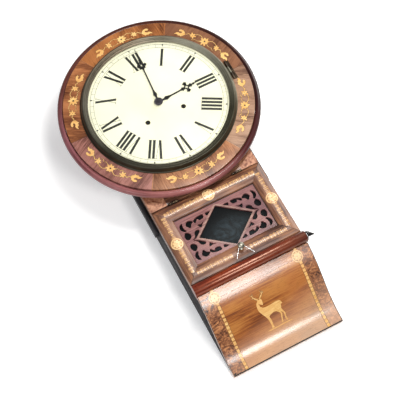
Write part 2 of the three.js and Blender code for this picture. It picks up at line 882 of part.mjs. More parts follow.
function doorGlass() {
  const reach = rabbetWidth - seat;
  const front = fretFromWall - fretThickness - seat;
  const half = openingHalf + reach;
  return block(-half, half, front - doorGlassThickness, front, openingBottom - reach, openingTop + reach);
}

// A butt hinge in the seam: knuckles along x, one leaf above or below them.
function seamHinge(x, fixed) {
  const end = hingeLength / 2;
  const middle = hingeLength / 6;
  const d = hingeAxisFromWall;
  const leafBack = d - leafDepth;
  if (fixed) {
    const z0 = topRailBottom;
    return join(
      barAcross(x - end, x - middle, knuckleRadius, d, hingeSeam, 12),
      barAcross(x + middle, x + end, knuckleRadius, d, hingeSeam, 12),
      barAcross(x - middle - 1, x + middle + 1, hingePinRadius, d, hingeSeam, 8),
      block(x - end, x - middle, leafBack, d, z0, z0 + leafThickness),
      block(x + middle, x + end, leafBack, d, z0, z0 + leafThickness),
      block(x - end, x + end, leafBack, d - knuckleRadius - running, z0, z0 + leafThickness),
    );
  }
  const z1 = doorTop;
  const barrel = join(
    barAcross(x - middle + seat, x + middle - seat, knuckleRadius, d, hingeSeam, 12),
    block(x - middle + seat, x + middle - seat, leafBack, d, z1 - leafThickness, z1),
    block(x - end, x + end, leafBack, d - knuckleRadius - running, z1 - leafThickness, z1),
  );
  return cut(barrel, barAcross(x - end, x + end, hingePinRadius + running, d, hingeSeam, 10));
}

// The moulding's face under the knob.
const knobSeatFromWall = mouldingEdgeFromWall + cushionRise;
const catchFromWall = knobSeatFromWall + 9;

function doorKnob() {
  const foot = knobSeatFromWall + seat;
  const tip = knobSeatFromWall + knobReach;
  const shank = knobNeckRadius;
  return turned(
    [
      [0, memberBack - 4],
      [5, memberBack - 4],
      [5, memberBack - seat],
      [shank, memberBack - seat],
      [shank, foot],
      [5, foot],
      [4.6, foot + 1.4],
      [shank, foot + 2.2],
      [shank, tip - 5.5],
      [knobRadius - 1.6, tip - 4.8],
      [knobRadius, tip - 2.6],
      [knobRadius - 0.7, tip - 0.8],
      [knobRadius - 2, tip],
      [knobRadius - 3.4, tip - 1],
      [1.8, tip - 0.4],
      [0, tip - 0.2],
    ],
    14,
    0,
    knobZ,
  );
}

// A spring wire bent round the knob's neck, its two legs bearing on the roll moulding.
function catchSpring() {
  const bend = knobNeckRadius + running + catchWireRadius;
  const leg = THREE.MathUtils.degToRad(catchLegAngle);
  const lean = THREE.MathUtils.degToRad(catchLean);
  const path = new THREE.CurvePath();
  const place = (x, z) => {
    const turnedX = x * Math.cos(lean) + z * Math.sin(lean);
    const turnedZ = -x * Math.sin(lean) + z * Math.cos(lean);
    return new THREE.Vector3(turnedX, -catchFromWall, knobZ + turnedZ);
  };
  const legEnd = [Math.sin(leg) * catchLegLength, -Math.cos(leg) * catchLegLength];
  const shoulder = [Math.cos(leg) * bend, Math.sin(leg) * bend];
  path.add(new THREE.LineCurve3(place(-legEnd[0], legEnd[1]), place(-shoulder[0], shoulder[1])));
  const crown = [];
  for (let i = 0; i <= 6; i++) {
    const a = Math.PI - leg + ((2 * leg - Math.PI) * i) / 6;
    crown.push(place(bend * Math.cos(a), bend * Math.sin(a)));
  }
  path.add(new THREE.CatmullRomCurve3(crown));
  path.add(new THREE.LineCurve3(place(shoulder[0], shoulder[1]), place(legEnd[0], legEnd[1])));
  return wire(path, catchWireRadius, 24, 6);
}

// Hands

// A cross hand pointing along +x: hub, collar, tapering stem, pierced cross with round lobes, pointer.
function hand(size, boreRadius, angle, height) {
  const { length, crossRadius, crossReach, stemWidth, hubRadius } = size;
  const back = aboveDial(height);
  const front = back + handThickness;
  const s = stemWidth / 2;
  const edge = [
    [0, s],
    [hubRadius + 3, s],
    [hubRadius + 5, s * 2.2],
    [hubRadius + 10, s * 0.9],
    [crossRadius, s * 0.75],
    [crossRadius + crossReach, s],
    [crossRadius + crossReach * 1.6, s * 0.7],
    [length, 0.3],
  ];
  const mirrored = edge.map(([x, z]) => [x, -z]).reverse();
  const lobe = crossReach * 0.3;
  const reach = crossReach - lobe;
  const lobes = [0, 90, 180, 270].map((turn) => {
    const [x, z] = polar([crossRadius, 0], reach, turn);
    return rod(x, z, lobe, back, front, 6);
  });
  const solid = join(
    plate(outline([...edge, ...mirrored]), back, front),
    rod(0, 0, hubRadius, back, front, 16),
    block(crossRadius - s, crossRadius + s, back, front, -reach, reach),
    rod(crossRadius, 0, crossReach * 0.42, back, front, 10),
    ...lobes,
  );
  const bores = [rod(0, 0, boreRadius, 0, clearOfAll, 12), rod(crossRadius, 0, crossReach * 0.2, 0, clearOfAll, 6)];
  return cut(solid, ...bores).rotate([0, angle - 90, 0]);
}

// Movement

const backPlateFront = backPlateBack + plateThickness;
const frontPlateBack = frontPlateFromWall - plateThickness;

// The point at two distances from two others, on the left of the way from a to b, or on its right.
function meshPoint(a, distanceA, b, distanceB, side) {
  const span = Math.hypot(b[0] - a[0], b[1] - a[1]);
  const u = [(b[0] - a[0]) / span, (b[1] - a[1]) / span];
  const along = (distanceA ** 2 - distanceB ** 2 + span ** 2) / (2 * span);
  const off = side * Math.sqrt(distanceA ** 2 - along ** 2);
  return [a[0] + u[0] * along - u[1] * off, a[1] + u[1] * along + u[0] * off];
}

const centreDistance = (teeth, leaves, module) => ((teeth + leaves) / 2) * module;
const polar = (from, distance, degrees) => {
  const a = THREE.MathUtils.degToRad(degrees);
  return [from[0] + distance * Math.cos(a), from[1] + distance * Math.sin(a)];
};

const centreAt = [0, 0];
const timeGreatAt = [windingX, windingZ];
const strikeGreatAt = [-windingX, windingZ];
const greatToSecond = centreDistance(greatTeeth, pinionLeaves, greatModule);
const secondToCentre = centreDistance(secondTeeth, pinionLeaves, secondModule);
const timeSecondAt = meshPoint(centreAt, secondToCentre, timeGreatAt, greatToSecond, -1);
const palletsAt = [0, suspensionZ];
const escapeAt = [0, suspensionZ - escapeRadius * Math.SQRT2];
const centreToThird = centreDistance(centreTeeth, pinionLeaves, centreModule);
const thirdToEscape = centreDistance(thirdTeeth, pinionLeaves, thirdModule);
const thirdAt = meshPoint(centreAt, centreToThird, escapeAt, thirdToEscape, -1);
const strikeSecondAt = polar(strikeGreatAt, greatToSecond, 90);
const strikeSecondToThird = centreDistance(strikeSecondTeeth, pinionLeaves, strikeSecondModule);
const strikeThirdAt = polar(strikeSecondAt, strikeSecondToThird, 60);
const strikeThirdToFly = centreDistance(strikeThirdTeeth, pinionLeaves, strikeThirdModule);
const flyAt = polar(strikeThirdAt, strikeThirdToFly, 120);
const hammerAt = [hammerX, hammerZ];
const motionDistance = centreDistance(motionWheelTeeth, pinionLeaves, motionModule);
// Both pairs of motion wheels share one centre distance.
const hourModule = (2 * motionDistance) / (hourWheelTeeth + pinionLeaves);
const minuteWheelAt = polar(centreAt, motionDistance, 200);

// Planes of the wheels, from the wall
const greatPlane = frontPlateBack - 4;
const timeSecondPlane = greatPlane - 5.4;
const strikeSecondPlane = timeSecondPlane;
const springFront = timeSecondPlane - 2.4;
const centrePlane = frontPlateBack - 15;
const thirdPlane = frontPlateBack - 21;
const strikeThirdPlane = thirdPlane;
const escapePlane = frontPlateBack - 27;
const motionPlane = frontPlateFromWall + 2.2;
const hourPlane = motionPlane + 3;

// Degrees of turn for each wheel so that its teeth fall between its neighbour's.
function meshTurn(teeth, turn, leaves, from, to) {
  const way = THREE.MathUtils.radToDeg(Math.atan2(to[1] - from[1], to[0] - from[0]));
  return way + 180 - (180 - (way - turn) * teeth) / leaves;
}

// Teeth drawn round the centre, the first one on +x. The gaps between them are pointed,
// and so are the teeth when their share of the pitch is 0.
function toothLine(teeth, pitchRadius, module, tipShare) {
  const points = [];
  const step = (2 * Math.PI) / teeth;
  const tip = pitchRadius + 0.85 * module;
  const root = pitchRadius - 1.35 * module;
  for (let i = 0; i < teeth; i++) {
    const a = i * step;
    points.push([tip * Math.cos(a - tipShare * step), tip * Math.sin(a - tipShare * step)]);
    if (tipShare > 0) points.push([tip * Math.cos(a + tipShare * step), tip * Math.sin(a + tipShare * step)]);
    points.push([root * Math.cos(a + step / 2), root * Math.sin(a + step / 2)]);
  }
  return points;
}

// Windows that leave arms between the rim and the hub.
function crossings(shape, arms, innerRadius, outerRadius, armWidth) {
  for (let i = 0; i < arms; i++) {
    const start = (2 * Math.PI * i) / arms;
    const end = (2 * Math.PI * (i + 1)) / arms;
    const innerGap = armWidth / innerRadius;
    const outerGap = armWidth / outerRadius;
    const window = new THREE.Path();
    const steps = 2;
    for (let j = 0; j <= steps; j++) {
      const a = start + outerGap + ((end - start - 2 * outerGap) * j) / steps;
      const point = [outerRadius * Math.cos(a), outerRadius * Math.sin(a)];
      if (j === 0) window.moveTo(...point);
      else window.lineTo(...point);
    }
    const middle = (start + end) / 2;
    const spread = (end - start) / 2 - innerGap;
    window.lineTo(innerRadius * Math.cos(middle + spread), innerRadius * Math.sin(middle + spread));
    window.lineTo(innerRadius * Math.cos(middle - spread), innerRadius * Math.sin(middle - spread));
    window.closePath();
    shape.holes.push(window);
  }
}

// A toothed wheel round its own centre, with its front face at distance d.
function wheel(teeth, module, thickness, d, arms, hubRadius) {
  const radius = (teeth * module) / 2;
  const shape = outline(toothLine(teeth, radius, module, module < 1 ? 0 : 0.12));
  if (arms) crossings(shape, arms, hubRadius * 1.8, radius - 3.2 * module, 1.4);
  return plate(shape, d - thickness, d);
}

// A pinion: narrow leaves with pointed gaps.
function pinion(leaves, module, d0, d1) {
  const radius = (leaves * module) / 2;
  const points = [];
  const step = (2 * Math.PI) / leaves;
  const tip = radius + 0.7 * module;
  const root = radius - 1.15 * module;
  for (let i = 0; i < leaves; i++) {
    const a = i * step;
    for (const [r, share] of [[root, -0.2], [tip, -0.08], [tip, 0.08], [root, 0.2]]) {
      points.push([r * Math.cos(a + share * step), r * Math.sin(a + share * step)]);
    }
  }
  return plate(outline(points), d0, d1);
}

// Pieces of one arbor, built round its own centre and turned so that the teeth mesh.
const turnBy = (solid, degrees) => solid.rotate([0, -degrees, 0]);
const inPlates = (radius) => rod(0, 0, radius, backPlateBack - 1, frontPlateFromWall + 1, 8);

function at(mesh, [x, z]) {
  mesh.position.set(x, 0, z);
  return mesh;
}

// Turns of the going train, starting from the centre arbor
const timeSecondTurn = meshTurn(pinionLeaves, 0, secondTeeth, centreAt, timeSecondAt);
const timeGreatTurn = meshTurn(pinionLeaves, 0, greatTeeth, timeSecondAt, timeGreatAt);
const thirdPinionTurn = meshTurn(centreTeeth, 0, pinionLeaves, centreAt, thirdAt);
const escapePinionTurn = meshTurn(thirdTeeth, 0, pinionLeaves, thirdAt, escapeAt);
const minuteWheelTurn = meshTurn(pinionLeaves, 0, motionWheelTeeth, centreAt, minuteWheelAt);
const hourWheelTurn = meshTurn(pinionLeaves, 0, hourWheelTeeth, minuteWheelAt, centreAt);

// Pinion for the wheel whose front lies at plane: 1 mm longer than it is thick at either side.
function pinionFor(modulus, plane, thickness, angle) {
  return turnBy(pinion(pinionLeaves, modulus, plane - thickness - 1, plane + 1), angle);
}

function greatWheel() {
  const disc = wheel(greatTeeth, greatModule, greatWheelThickness, greatPlane, 0, 0);
  const hub = rod(0, 0, windingArborRadius + 3, greatPlane - greatWheelThickness - 2, greatPlane, 14);
  const bore = rod(0, 0, windingArborRadius + running, 0, clearOfAll, 14);
  return cut(join(disc, hub), bore);
}

// Winding arbor: squared end behind the dial, ratchet wheel behind the great wheel.
function windingArbor() {
  const square = aboveDial(-1);
  const side = windingArborRadius * 0.62;
  const ratchetFront = greatPlane - greatWheelThickness - 2 - seat;
  const teeth = 12;
  const radius = windingArborRadius + 5;
  const points = [];
  for (let i = 0; i < teeth; i++) {
    const a = (2 * Math.PI * i) / teeth;
    points.push([(radius - 1.4) * Math.cos(a), (radius - 1.4) * Math.sin(a)]);
    points.push([radius * Math.cos(a + 0.04), radius * Math.sin(a + 0.04)]);
  }
  return join(
    rod(0, 0, windingArborRadius, backPlateBack - 1, frontPlateFromWall + 5, 14),
    block(-side, side, frontPlateFromWall + 4, square, -side, side),
    plate(outline(points), ratchetFront - 1.2, ratchetFront),
  );
}

// A coiled strip: its inner end is clear of the arbor, its outer end reaches its pillar's side.
function mainspring(hand) {
  const inner = windingArborRadius + 1;
  const steps = 10;
  const count = springTurns * steps;
  const middle = [];
  for (let i = 0; i <= count; i++) {
    const share = i / count;
    const a = -hand * share * springTurns * 2 * Math.PI - (hand * Math.PI) / 4;
    const r = inner + springStrip / 2 + (springOuterRadius - inner - springStrip) * share;
    middle.push(new THREE.Vector2(hand * r * Math.cos(a) * hand, r * Math.sin(a)));
  }
  const gap = leastTurnGap(middle, steps, springStrip);
  const inside = middle.map((p) => p.clone().setLength(p.length() - springStrip / 2));
  const outside = middle.map((p) => p.clone().setLength(p.length() + springStrip / 2));
  const shape = new THREE.Shape([...inside, ...outside.reverse()]);
  return { solid: plate(shape, springFront - springWidth, springFront), gap };
}

function timeSecondWheel() {
  return join(
    turnBy(wheel(secondTeeth, secondModule, wheelThickness, timeSecondPlane, 4, 3.5), timeSecondTurn),
    pinionFor(greatModule, greatPlane, greatWheelThickness, 0),
    inPlates(arborRadius),
  );
}

// Centre arbor: pinion, centre wheel, cannon pinion and the long end that carries the minute hand.
function centreWheel() {
  return join(
    wheel(centreTeeth, centreModule, wheelThickness, centrePlane, 5, 4),
    pinionFor(secondModule, timeSecondPlane, wheelThickness, 0),
    pinion(pinionLeaves, motionModule, motionPlane - wheelThickness, motionPlane),
    rod(0, 0, centreArborRadius, backPlateBack - 1, aboveDial(minuteHandHeight + handThickness + 1), 12),
  );
}

function thirdWheel() {
  return join(
    wheel(thirdTeeth, thirdModule, wheelThickness, thirdPlane, 4, 3),
    pinionFor(centreModule, centrePlane, wheelThickness, thirdPinionTurn),
    inPlates(arborRadius),
  );
}

function escapeWheel() {
  const points = [];
  const step = (2 * Math.PI) / escapeTeeth;
  for (let i = 0; i < escapeTeeth; i++) {
    points.push([(escapeRadius - 2.6) * Math.cos(i * step), (escapeRadius - 2.6) * Math.sin(i * step)]);
    points.push([escapeRadius * Math.cos((i + 0.3) * step), escapeRadius * Math.sin((i + 0.3) * step)]);
  }
  const shape = outline(points);
  crossings(shape, 4, 4, escapeRadius - 4.6, 1);
  return join(
    plate(shape, escapePlane - 1.2, escapePlane),
    pinionFor(thirdModule, thirdPlane, wheelThickness, escapePinionTurn),
    inPlates(arborRadius * 0.8),
  );
}

// Pallets on their arbor, with the crutch that holds the pendulum rod in its fork.
function verge() {
  const reach = escapeRadius * 0.71;
  const drop = escapeRadius * 0.71;
  const strip = outline([
    [-reach - 1.6, -drop + 3.6],
    [-reach + 0.2, -drop + 3.4],
    [-reach + 3, -2.2],
    [reach - 3, -2.2],
    [reach - 0.2, -drop + 3.4],
    [reach + 1.6, -drop + 3.6],
    [reach - 1, 1.6],
    [0, 2.8],
    [-reach + 1, 1.6],
  ]);
  const crutchPlane = backPlateBack - 5;
  const forkZ = -44;
  const forkFront = crutchPlane + 0.6;
  const forkBack = pendulumFromWall - 3;
  const prong = pendulumRodRadius + running + 0.2;
  return join(
    plate(strip, escapePlane - 1.4, escapePlane + 0.4),
    rod(0, 0, 1.2, crutchPlane - 1, frontPlateFromWall + 1, 10),
    barUpright(0, crutchPlane, forkZ, 1, 0.9, 8),
    block(-prong - 1.2, prong + 1.2, forkFront - 1.2, forkFront, forkZ - 1, forkZ + 1),
    block(-prong - 1.2, -prong, forkBack, forkFront, forkZ - 1, forkZ + 1),
    block(prong, prong + 1.2, forkBack, forkFront, forkZ - 1, forkZ + 1),
  );
}

function suspensionCock() {
  const front = backPlateBack - seat;
  const back = pendulumFromWall - 4;
  return join(
    block(-6, 6, back, front, suspensionZ + 8, suspensionZ + 14),
    block(-6, 6, back, back + 8, suspensionZ + seat, suspensionZ + 9),
  );
}

function pendulumRod() {
  const low = suspensionZ - pendulumLength - bobRadius - 14;
  return join(
    block(-3, 3, pendulumFromWall - 0.3, pendulumFromWall + 0.3, suspensionZ - 24, suspensionZ - 0.1),
    block(-2.4, 2.4, pendulumFromWall - 1.5, pendulumFromWall + 1.5, suspensionZ - 28, suspensionZ - 22),
    barUpright(0, pendulumFromWall, low, suspensionZ - 27, pendulumRodRadius, 10),
  );
}

function pendulumBob() {
  const half = bobThickness / 2;
  const d = pendulumFromWall;
  const z = suspensionZ - pendulumLength;
  const lens = turned(
    [[0, d - half], [bobRadius * 0.55, d - half * 0.8], [bobRadius * 0.9, d - half * 0.35], [bobRadius, d],
      [bobRadius * 0.9, d + half * 0.35], [bobRadius * 0.55, d + half * 0.8], [0, d + half]],
    24, 0, z,
  );
  return cut(lens, barUpright(0, d, z - bobRadius - 1, z + bobRadius + 1, pendulumRodRadius + running, 10));
}

function ratingNut() {
  const top = suspensionZ - pendulumLength - bobRadius - seat;
  const nut = barUpright(0, pendulumFromWall, top - 5, top, ratingNutRadius, 12);
  return cut(nut, barUpright(0, pendulumFromWall, top - 6, top + 1, pendulumRodRadius + running, 10));
}

// Motion work in front of the front plate
function minuteWheel() {
  const teeth = wheel(motionWheelTeeth, motionModule, wheelThickness, motionPlane, 0, 0);
  const disc = turnBy(teeth, minuteWheelTurn);
  const leaves = pinion(pinionLeaves, hourModule, motionPlane - 0.2, hourPlane);
  return cut(join(disc, leaves), rod(0, 0, minuteStudRadius + running, 0, clearOfAll, 10));
}

function hourWheel() {
  const pipe = centreArborRadius + running + 1;
  const disc = wheel(hourWheelTeeth, hourModule, wheelThickness, hourPlane, 0, 0);
  const barrel = rod(0, 0, pipe, hourPlane - wheelThickness, aboveDial(hourHandHeight + handThickness), 14);
  return cut(join(turnBy(disc, hourWheelTurn), barrel), rod(0, 0, centreArborRadius + running, 0, clearOfAll, 14));
}

function handNut() {
  const back = aboveDial(minuteHandHeight + handThickness) + seat;
  const bore = centreArborRadius + running;
  return turned(
    [
      [0, back + 0.9],
      [bore, back + 0.9],
      [bore, back],
      [bossRadius, back],
      [bossRadius, back + 1],
      [bossRadius * 0.7, back + 2.2],
      [0, back + 2.4],
    ],
    20,
  );
}

// Striking train
function strikeSecondWheel() {
  const pins = [];
  for (let i = 0; i < liftingPins; i++) {
    const [x, z] = polar([0, 0], 17, (360 / liftingPins) * i + 22);
    pins.push(rod(x, z, 0.8, strikeSecondPlane - 0.5, strikeSecondPlane + liftingPinLength, 5));
  }
  return join(
    wheel(strikeSecondTeeth, strikeSecondModule, wheelThickness, strikeSecondPlane, 0, 0),
    pinionFor(greatModule, greatPlane, greatWheelThickness, 0),
    inPlates(arborRadius),
    ...pins,
  );
}

const strikeGreatTurn = meshTurn(pinionLeaves, 0, greatTeeth, strikeSecondAt, strikeGreatAt);
const strikeThirdPinionTurn = meshTurn(strikeSecondTeeth, 0, pinionLeaves, strikeSecondAt, strikeThirdAt);
const flyPinionTurn = meshTurn(strikeThirdTeeth, 0, pinionLeaves, strikeThirdAt, flyAt);

function strikeThirdWheel() {
  return join(
    wheel(strikeThirdTeeth, strikeThirdModule, wheelThickness, strikeThirdPlane, 4, 3),
    pinionFor(strikeSecondModule, strikeSecondPlane, wheelThickness, strikeThirdPinionTurn),
    inPlates(arborRadius),
  );
}

function strikeFly() {
  const d = strikeThirdPlane + 6;
  const half = 0.5;
  return join(
    pinionFor(strikeThirdModule, strikeThirdPlane, wheelThickness, flyPinionTurn),
    block(-flyRadius, flyRadius, d, d + flyWidth, -half, half),
    inPlates(arborRadius * 0.8),
  );
}

// Hammer: arbor between the plates with a short tail, and a wire behind them down to the gong.
function strikeHammer() {
  const wirePlane = backPlateBack - 6;
  const lean = [gongX - gongOuterRadius - gongWireRadius - hammerHeadRadius - 2 - hammerX, -hammerReach];
  const length = Math.hypot(...lean);
  const shaft = new THREE.CylinderGeometry(1, 1, length, 8);
  shaft.translate(0, -length / 2, 0);
  shaft.rotateZ(Math.atan2(lean[0], -lean[1]));
  shaft.rotateX(Math.PI / 2);
  shaft.translate(0, -wirePlane, 0);
  const headFront = wirePlane + 2;
  return join(
    rod(0, 0, arborRadius, wirePlane - 2, frontPlateFromWall + 1, 10),
    block(0, 6.5, strikeSecondPlane + 0.5, strikeSecondPlane + 2, -1, 1),
    solidOf(shaft),
    rod(lean[0], lean[1], hammerHeadRadius, headFront - hammerHeadLength - 12, headFront, 14),
  );
}

// Gong: one spiral of wire on an iron stand
class GongSpiral extends THREE.Curve {
  getPoint(t, target = new THREE.Vector3()) {
    const a = t * gongTurns * 2 * Math.PI;
    const r = gongInnerRadius + (gongOuterRadius - gongInnerRadius) * t;
    return target.set(gongX + r * Math.cos(a), -gongFromWall, gongZ + r * Math.sin(a));
  }
}

function gongCoil() {
  const steps = gongTurns * 18;
  const curve = new GongSpiral();
  const gap = leastTurnGap(curve.getSpacedPoints(steps * 4), 18 * 4, 2 * gongWireRadius);
  return { solid: wire(curve, gongWireRadius, steps, 6), gap };
}

function gongStand() {
  const back = backboardThickness + seat;
  const grip = gongInnerRadius - gongWireRadius - seat;
  return turned(
    [[0, back], [gongStandRadius * 2.4, back], [gongStandRadius * 2.4, back + 3], [gongStandRadius, back + 6],
      [gongStandRadius - 1, gongFromWall - 4], [grip, gongFromWall - 2.5],
      [grip, gongFromWall + 2.5], [0, gongFromWall + 4]],
    18, gongX, gongZ,
  );
}

// Plates
const pillarPlaces = [[-pillarX, plateBottom + 9], [pillarX, plateBottom + 9], [-pillarX, plateTop - 10],
  [pillarX, plateTop - 10]];

function plateOutline(half) {
  const shape = new THREE.Shape();
  shape.moveTo(-half, plateBottom);
  shape.quadraticCurveTo(0, plateBottom + 14, half, plateBottom);
  shape.lineTo(half, plateBottom + 22);
  shape.quadraticCurveTo(half - 22, 5, half, plateTop - 24);
  shape.lineTo(half, plateTop);
  shape.quadraticCurveTo(0, plateTop - 12, -half, plateTop);
  shape.closePath();
  return shape;
}

// Pivot holes of every arbor, with the radius of the pivot in each.
const pivots = [
  [timeGreatAt, windingArborRadius], [strikeGreatAt, windingArborRadius], [timeSecondAt, arborRadius],
  [centreAt, centreArborRadius], [thirdAt, arborRadius], [escapeAt, arborRadius * 0.8], [palletsAt, 1.2],
  [strikeSecondAt, arborRadius], [strikeThirdAt, arborRadius], [flyAt, arborRadius * 0.8],
  [hammerAt, arborRadius],
];

function movementPlate(half, d0, d1) {
  const shape = plateOutline(half);
  for (const [[x, z], radius] of pivots) shape.holes.push(roundHole(x, z, radius + running, 8));
  return plate(shape, d0, d1, 6);
}

function frontPlate() {
  const stud = rod(...minuteWheelAt, minuteStudRadius, frontPlateFromWall - 1, hourPlane + 1, 8);
  return join(movementPlate(plateHalfWidth, frontPlateBack, frontPlateFromWall), stud);
}

function backPlate() {
  const lugReach = boxInner - battenInset - 3;
  const lugs = [plateBottom + 10, plateTop - 12].map((z) =>
    block(-lugReach, lugReach, backPlateBack, backPlateFront, z - 7, z + 7),
  );
  const middle = block(-pillarX + 2, pillarX - 2, 0, clearOfAll, plateBottom - 1, plateTop + 1);
  const ears = lugs.map((lug) => cut(lug, middle));
  const pillarEnd = frontPlateBack - seat;
  const pillars = pillarPlaces.map(([x, z]) => rod(x, z, pillarRadius, backPlateFront - 1, pillarEnd, 10));
  return join(movementPlate(plateHalfWidth, backPlateBack, backPlateFront), ...ears, ...pillars);
}

// Assembly

const clock = new THREE.Group();
clock.name = "clock";
const casework = new THREE.Group();
const head = new THREE.Group();
const door = new THREE.Group();
const movement = new THREE.Group();
clock.add(casework, head, door, movement);

casework.add(
  piece("backboard", backboard(), pine()),
  piece("hanger_plate", hangerPlate(), blackSteel()),
  piece("case_side_left", caseSide(-1), darkSide()),
  piece("case_side_right", caseSide(1), darkSide()),
  piece("case_top", caseTop(), darkSide()),
  piece("ear_left", ear(-1), darkSide()),
  piece("ear_right", ear(1), darkSide()),
  piece("top_rail", topRail(), burr()),
  piece("roll_moulding", rollMoulding(), mahogany()),
  piece("roll_finial", rollFinial(), ebony()),
  piece("lower_panel", lowerPanel(), walnut()),
  piece("movement_batten_left", batten(-1), pine()),
  piece("movement_batten_right", batten(1), pine()),
  piece("hinge_leaf_left", seamHinge(-hingeSpread / 2, true), brass()),
  piece("hinge_leaf_right", seamHinge(hingeSpread / 2, true), brass()),
);

head.add(
  piece("head_ring", headRing(), walnut()),
  piece("rim_moulding", rimMoulding(), mahogany()),
  piece("dial_plate", dialPlate(), paint()),
  piece("bezel_hinge_plate", bezelHingePlate(), agedBrass()),
  piece("bezel", join(bezelRing(), bezelHingeLeaf()), agedBrass()),
  piece("bezel_glass", bezelGlass(), glass()),
  piece("glazing_ring", glazingRing(), putty()),
);

door.add(
  piece("door_rail_top", doorRail(true), walnut()),
  piece("door_rail_bottom", doorRail(false), walnut()),
  piece("door_stile_left", doorStile(-1), walnut()),
  piece("door_stile_right", doorStile(1), walnut()),
  piece("fret_panel", fretPanel(), fretWood()),
  piece("door_glass", doorGlass(), darkGlass()),
  piece("door_leaf_left", seamHinge(-hingeSpread / 2, false), brass()),
  piece("door_leaf_right", seamHinge(hingeSpread / 2, false), brass()),
  piece("door_knob", doorKnob(), brass()),
  piece("catch_spring", catchSpring(), steel()),
);

const timeSpring = mainspring(1);
const strikeSpring = mainspring(-1);
const gong = gongCoil();

movement.add(
  piece("front_plate", frontPlate(), brass()),
  piece("back_plate", backPlate(), brass()),
  at(piece("time_great_wheel", turnBy(greatWheel(), timeGreatTurn), brass()), timeGreatAt),
  at(piece("time_winding_arbor", windingArbor(), steel()), timeGreatAt),
  at(piece("time_mainspring", timeSpring.solid, blackSteel()), timeGreatAt),
  at(piece("time_second_wheel", timeSecondWheel(), brass()), timeSecondAt),
  piece("centre_wheel", centreWheel(), brass()),
  at(piece("third_wheel", thirdWheel(), brass()), thirdAt),
  at(piece("escape_wheel", escapeWheel(), brass()), escapeAt),
  at(piece("verge", verge(), steel()), palletsAt),
  piece("suspension_cock", suspensionCock(), brass()),
  piece("pendulum_rod", pendulumRod(), steel()),
  piece("pendulum_bob", pendulumBob(), brass()),
  piece("rating_nut", ratingNut(), brass()),
  at(piece("minute_wheel", minuteWheel(), brass()), minuteWheelAt),
  piece("hour_wheel", hourWheel(), brass()),
  piece(
    "hour_hand",
    hand(hourHand, centreArborRadius + 2 * running + 1, hourHandAngle, hourHandHeight),
    blackSteel(),
  ),
  piece(
    "minute_hand",
    hand(minuteHand, centreArborRadius + running, minuteHandAngle, minuteHandHeight),
    blackSteel(),
  ),
  piece("hand_nut", handNut(), blackSteel()),
  at(piece("strike_great_wheel", turnBy(greatWheel(), strikeGreatTurn), brass()), strikeGreatAt),
  at(piece("strike_winding_arbor", windingArbor(), steel()), strikeGreatAt),
  at(piece("strike_mainspring", strikeSpring.solid, blackSteel()), strikeGreatAt),
  at(piece("strike_second_wheel", strikeSecondWheel(), brass()), strikeSecondAt),
  at(piece("strike_third_wheel", strikeThirdWheel(), brass()), strikeThirdAt),
  at(piece("strike_fly", strikeFly(), brass()), flyAt),
  at(piece("strike_hammer", strikeHammer(), steel()), hammerAt),
  piece("gong_coil", gong.solid, blackSteel()),
  piece("gong_stand", gongStand(), iron()),
);

console.log(
  `least gap between turns: mainsprings ${Math.min(timeSpring.gap, strikeSpring.gap).toFixed(2)} mm, ` +
    `gong ${gong.gap.toFixed(2)} mm`,
);

export default clock;
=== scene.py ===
import math
import random

import bmesh
import bpy
from mathutils import Matrix, Vector


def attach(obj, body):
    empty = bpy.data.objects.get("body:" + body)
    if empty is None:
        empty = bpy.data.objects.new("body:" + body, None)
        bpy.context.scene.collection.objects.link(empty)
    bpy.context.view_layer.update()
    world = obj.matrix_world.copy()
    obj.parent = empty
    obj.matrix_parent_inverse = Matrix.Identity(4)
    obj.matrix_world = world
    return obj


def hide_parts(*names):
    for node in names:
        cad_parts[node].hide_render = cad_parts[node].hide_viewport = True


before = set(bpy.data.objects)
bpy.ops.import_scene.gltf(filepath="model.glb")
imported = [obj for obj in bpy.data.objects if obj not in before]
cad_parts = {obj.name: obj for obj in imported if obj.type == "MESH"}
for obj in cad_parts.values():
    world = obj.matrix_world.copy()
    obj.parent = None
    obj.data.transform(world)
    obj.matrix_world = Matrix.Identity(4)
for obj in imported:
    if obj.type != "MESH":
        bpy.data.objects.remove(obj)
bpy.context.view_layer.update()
mm = 0.001
print("frame loaded,", len(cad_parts), "solids")


# Lengths are millimetres up to the last step. A point is (x, distance from the wall, z).
def placed(x, d, z):
    return Vector((x * mm, -d * mm, z * mm))


# Centripetal curve through a few points.
def smoothLine(points, steps=6, closed=True):
    line = [Vector(p) for p in points]
    if closed:
        line = line[-1:] + line + line[:2]
    else:
        line = [2 * line[0] - line[1]] + line + [2 * line[-1] - line[-2]]
    out = []
    for p0, p1, p2, p3 in zip(line, line[1:], line[2:], line[3:]):
        t0, t1, t2 = [max((b - a).length ** 0.5, 1e-4) for a, b in ((p0, p1), (p1, p2), (p2, p3))]
        m1 = ((p1 - p0) / t0 - (p2 - p0) / (t0 + t1) + (p2 - p1) / t1) * t1
        m2 = ((p2 - p1) / t1 - (p3 - p1) / (t1 + t2) + (p3 - p2) / t2) * t1
        for k in range(steps):
            s = k / steps
            spot = (2 * s ** 3 - 3 * s ** 2 + 1) * p1 + (s ** 3 - 2 * s ** 2 + s) * m1
            out.append(tuple(spot + (3 * s ** 2 - 2 * s ** 3) * p2 + (s ** 3 - s ** 2) * m2))
    return out if closed else out + [tuple(points[-1])]


# Rounds each corner of a closed outline by up to a reach.
def eased(outline, reach, steps=3):
    out = []
    n = len(outline)
    for i in range(n):
        a, p, b = [Vector(outline[(i + k) % n]) for k in (-1, 0, 1)]
        toA, toB = a - p, b - p
        if toA.length < 1e-6 or toB.length < 1e-6 or toA.angle(toB) > math.radians(165):
            out.append(tuple(p))
            continue
        start = p + toA * min(reach / toA.length, 0.4)
        end = p + toB * min(reach / toB.length, 0.4)
        for k in range(steps + 1):
            s = k / steps
            out.append(tuple((1 - s) ** 2 * start + 2 * s * (1 - s) * p + s * s * end))
    return out


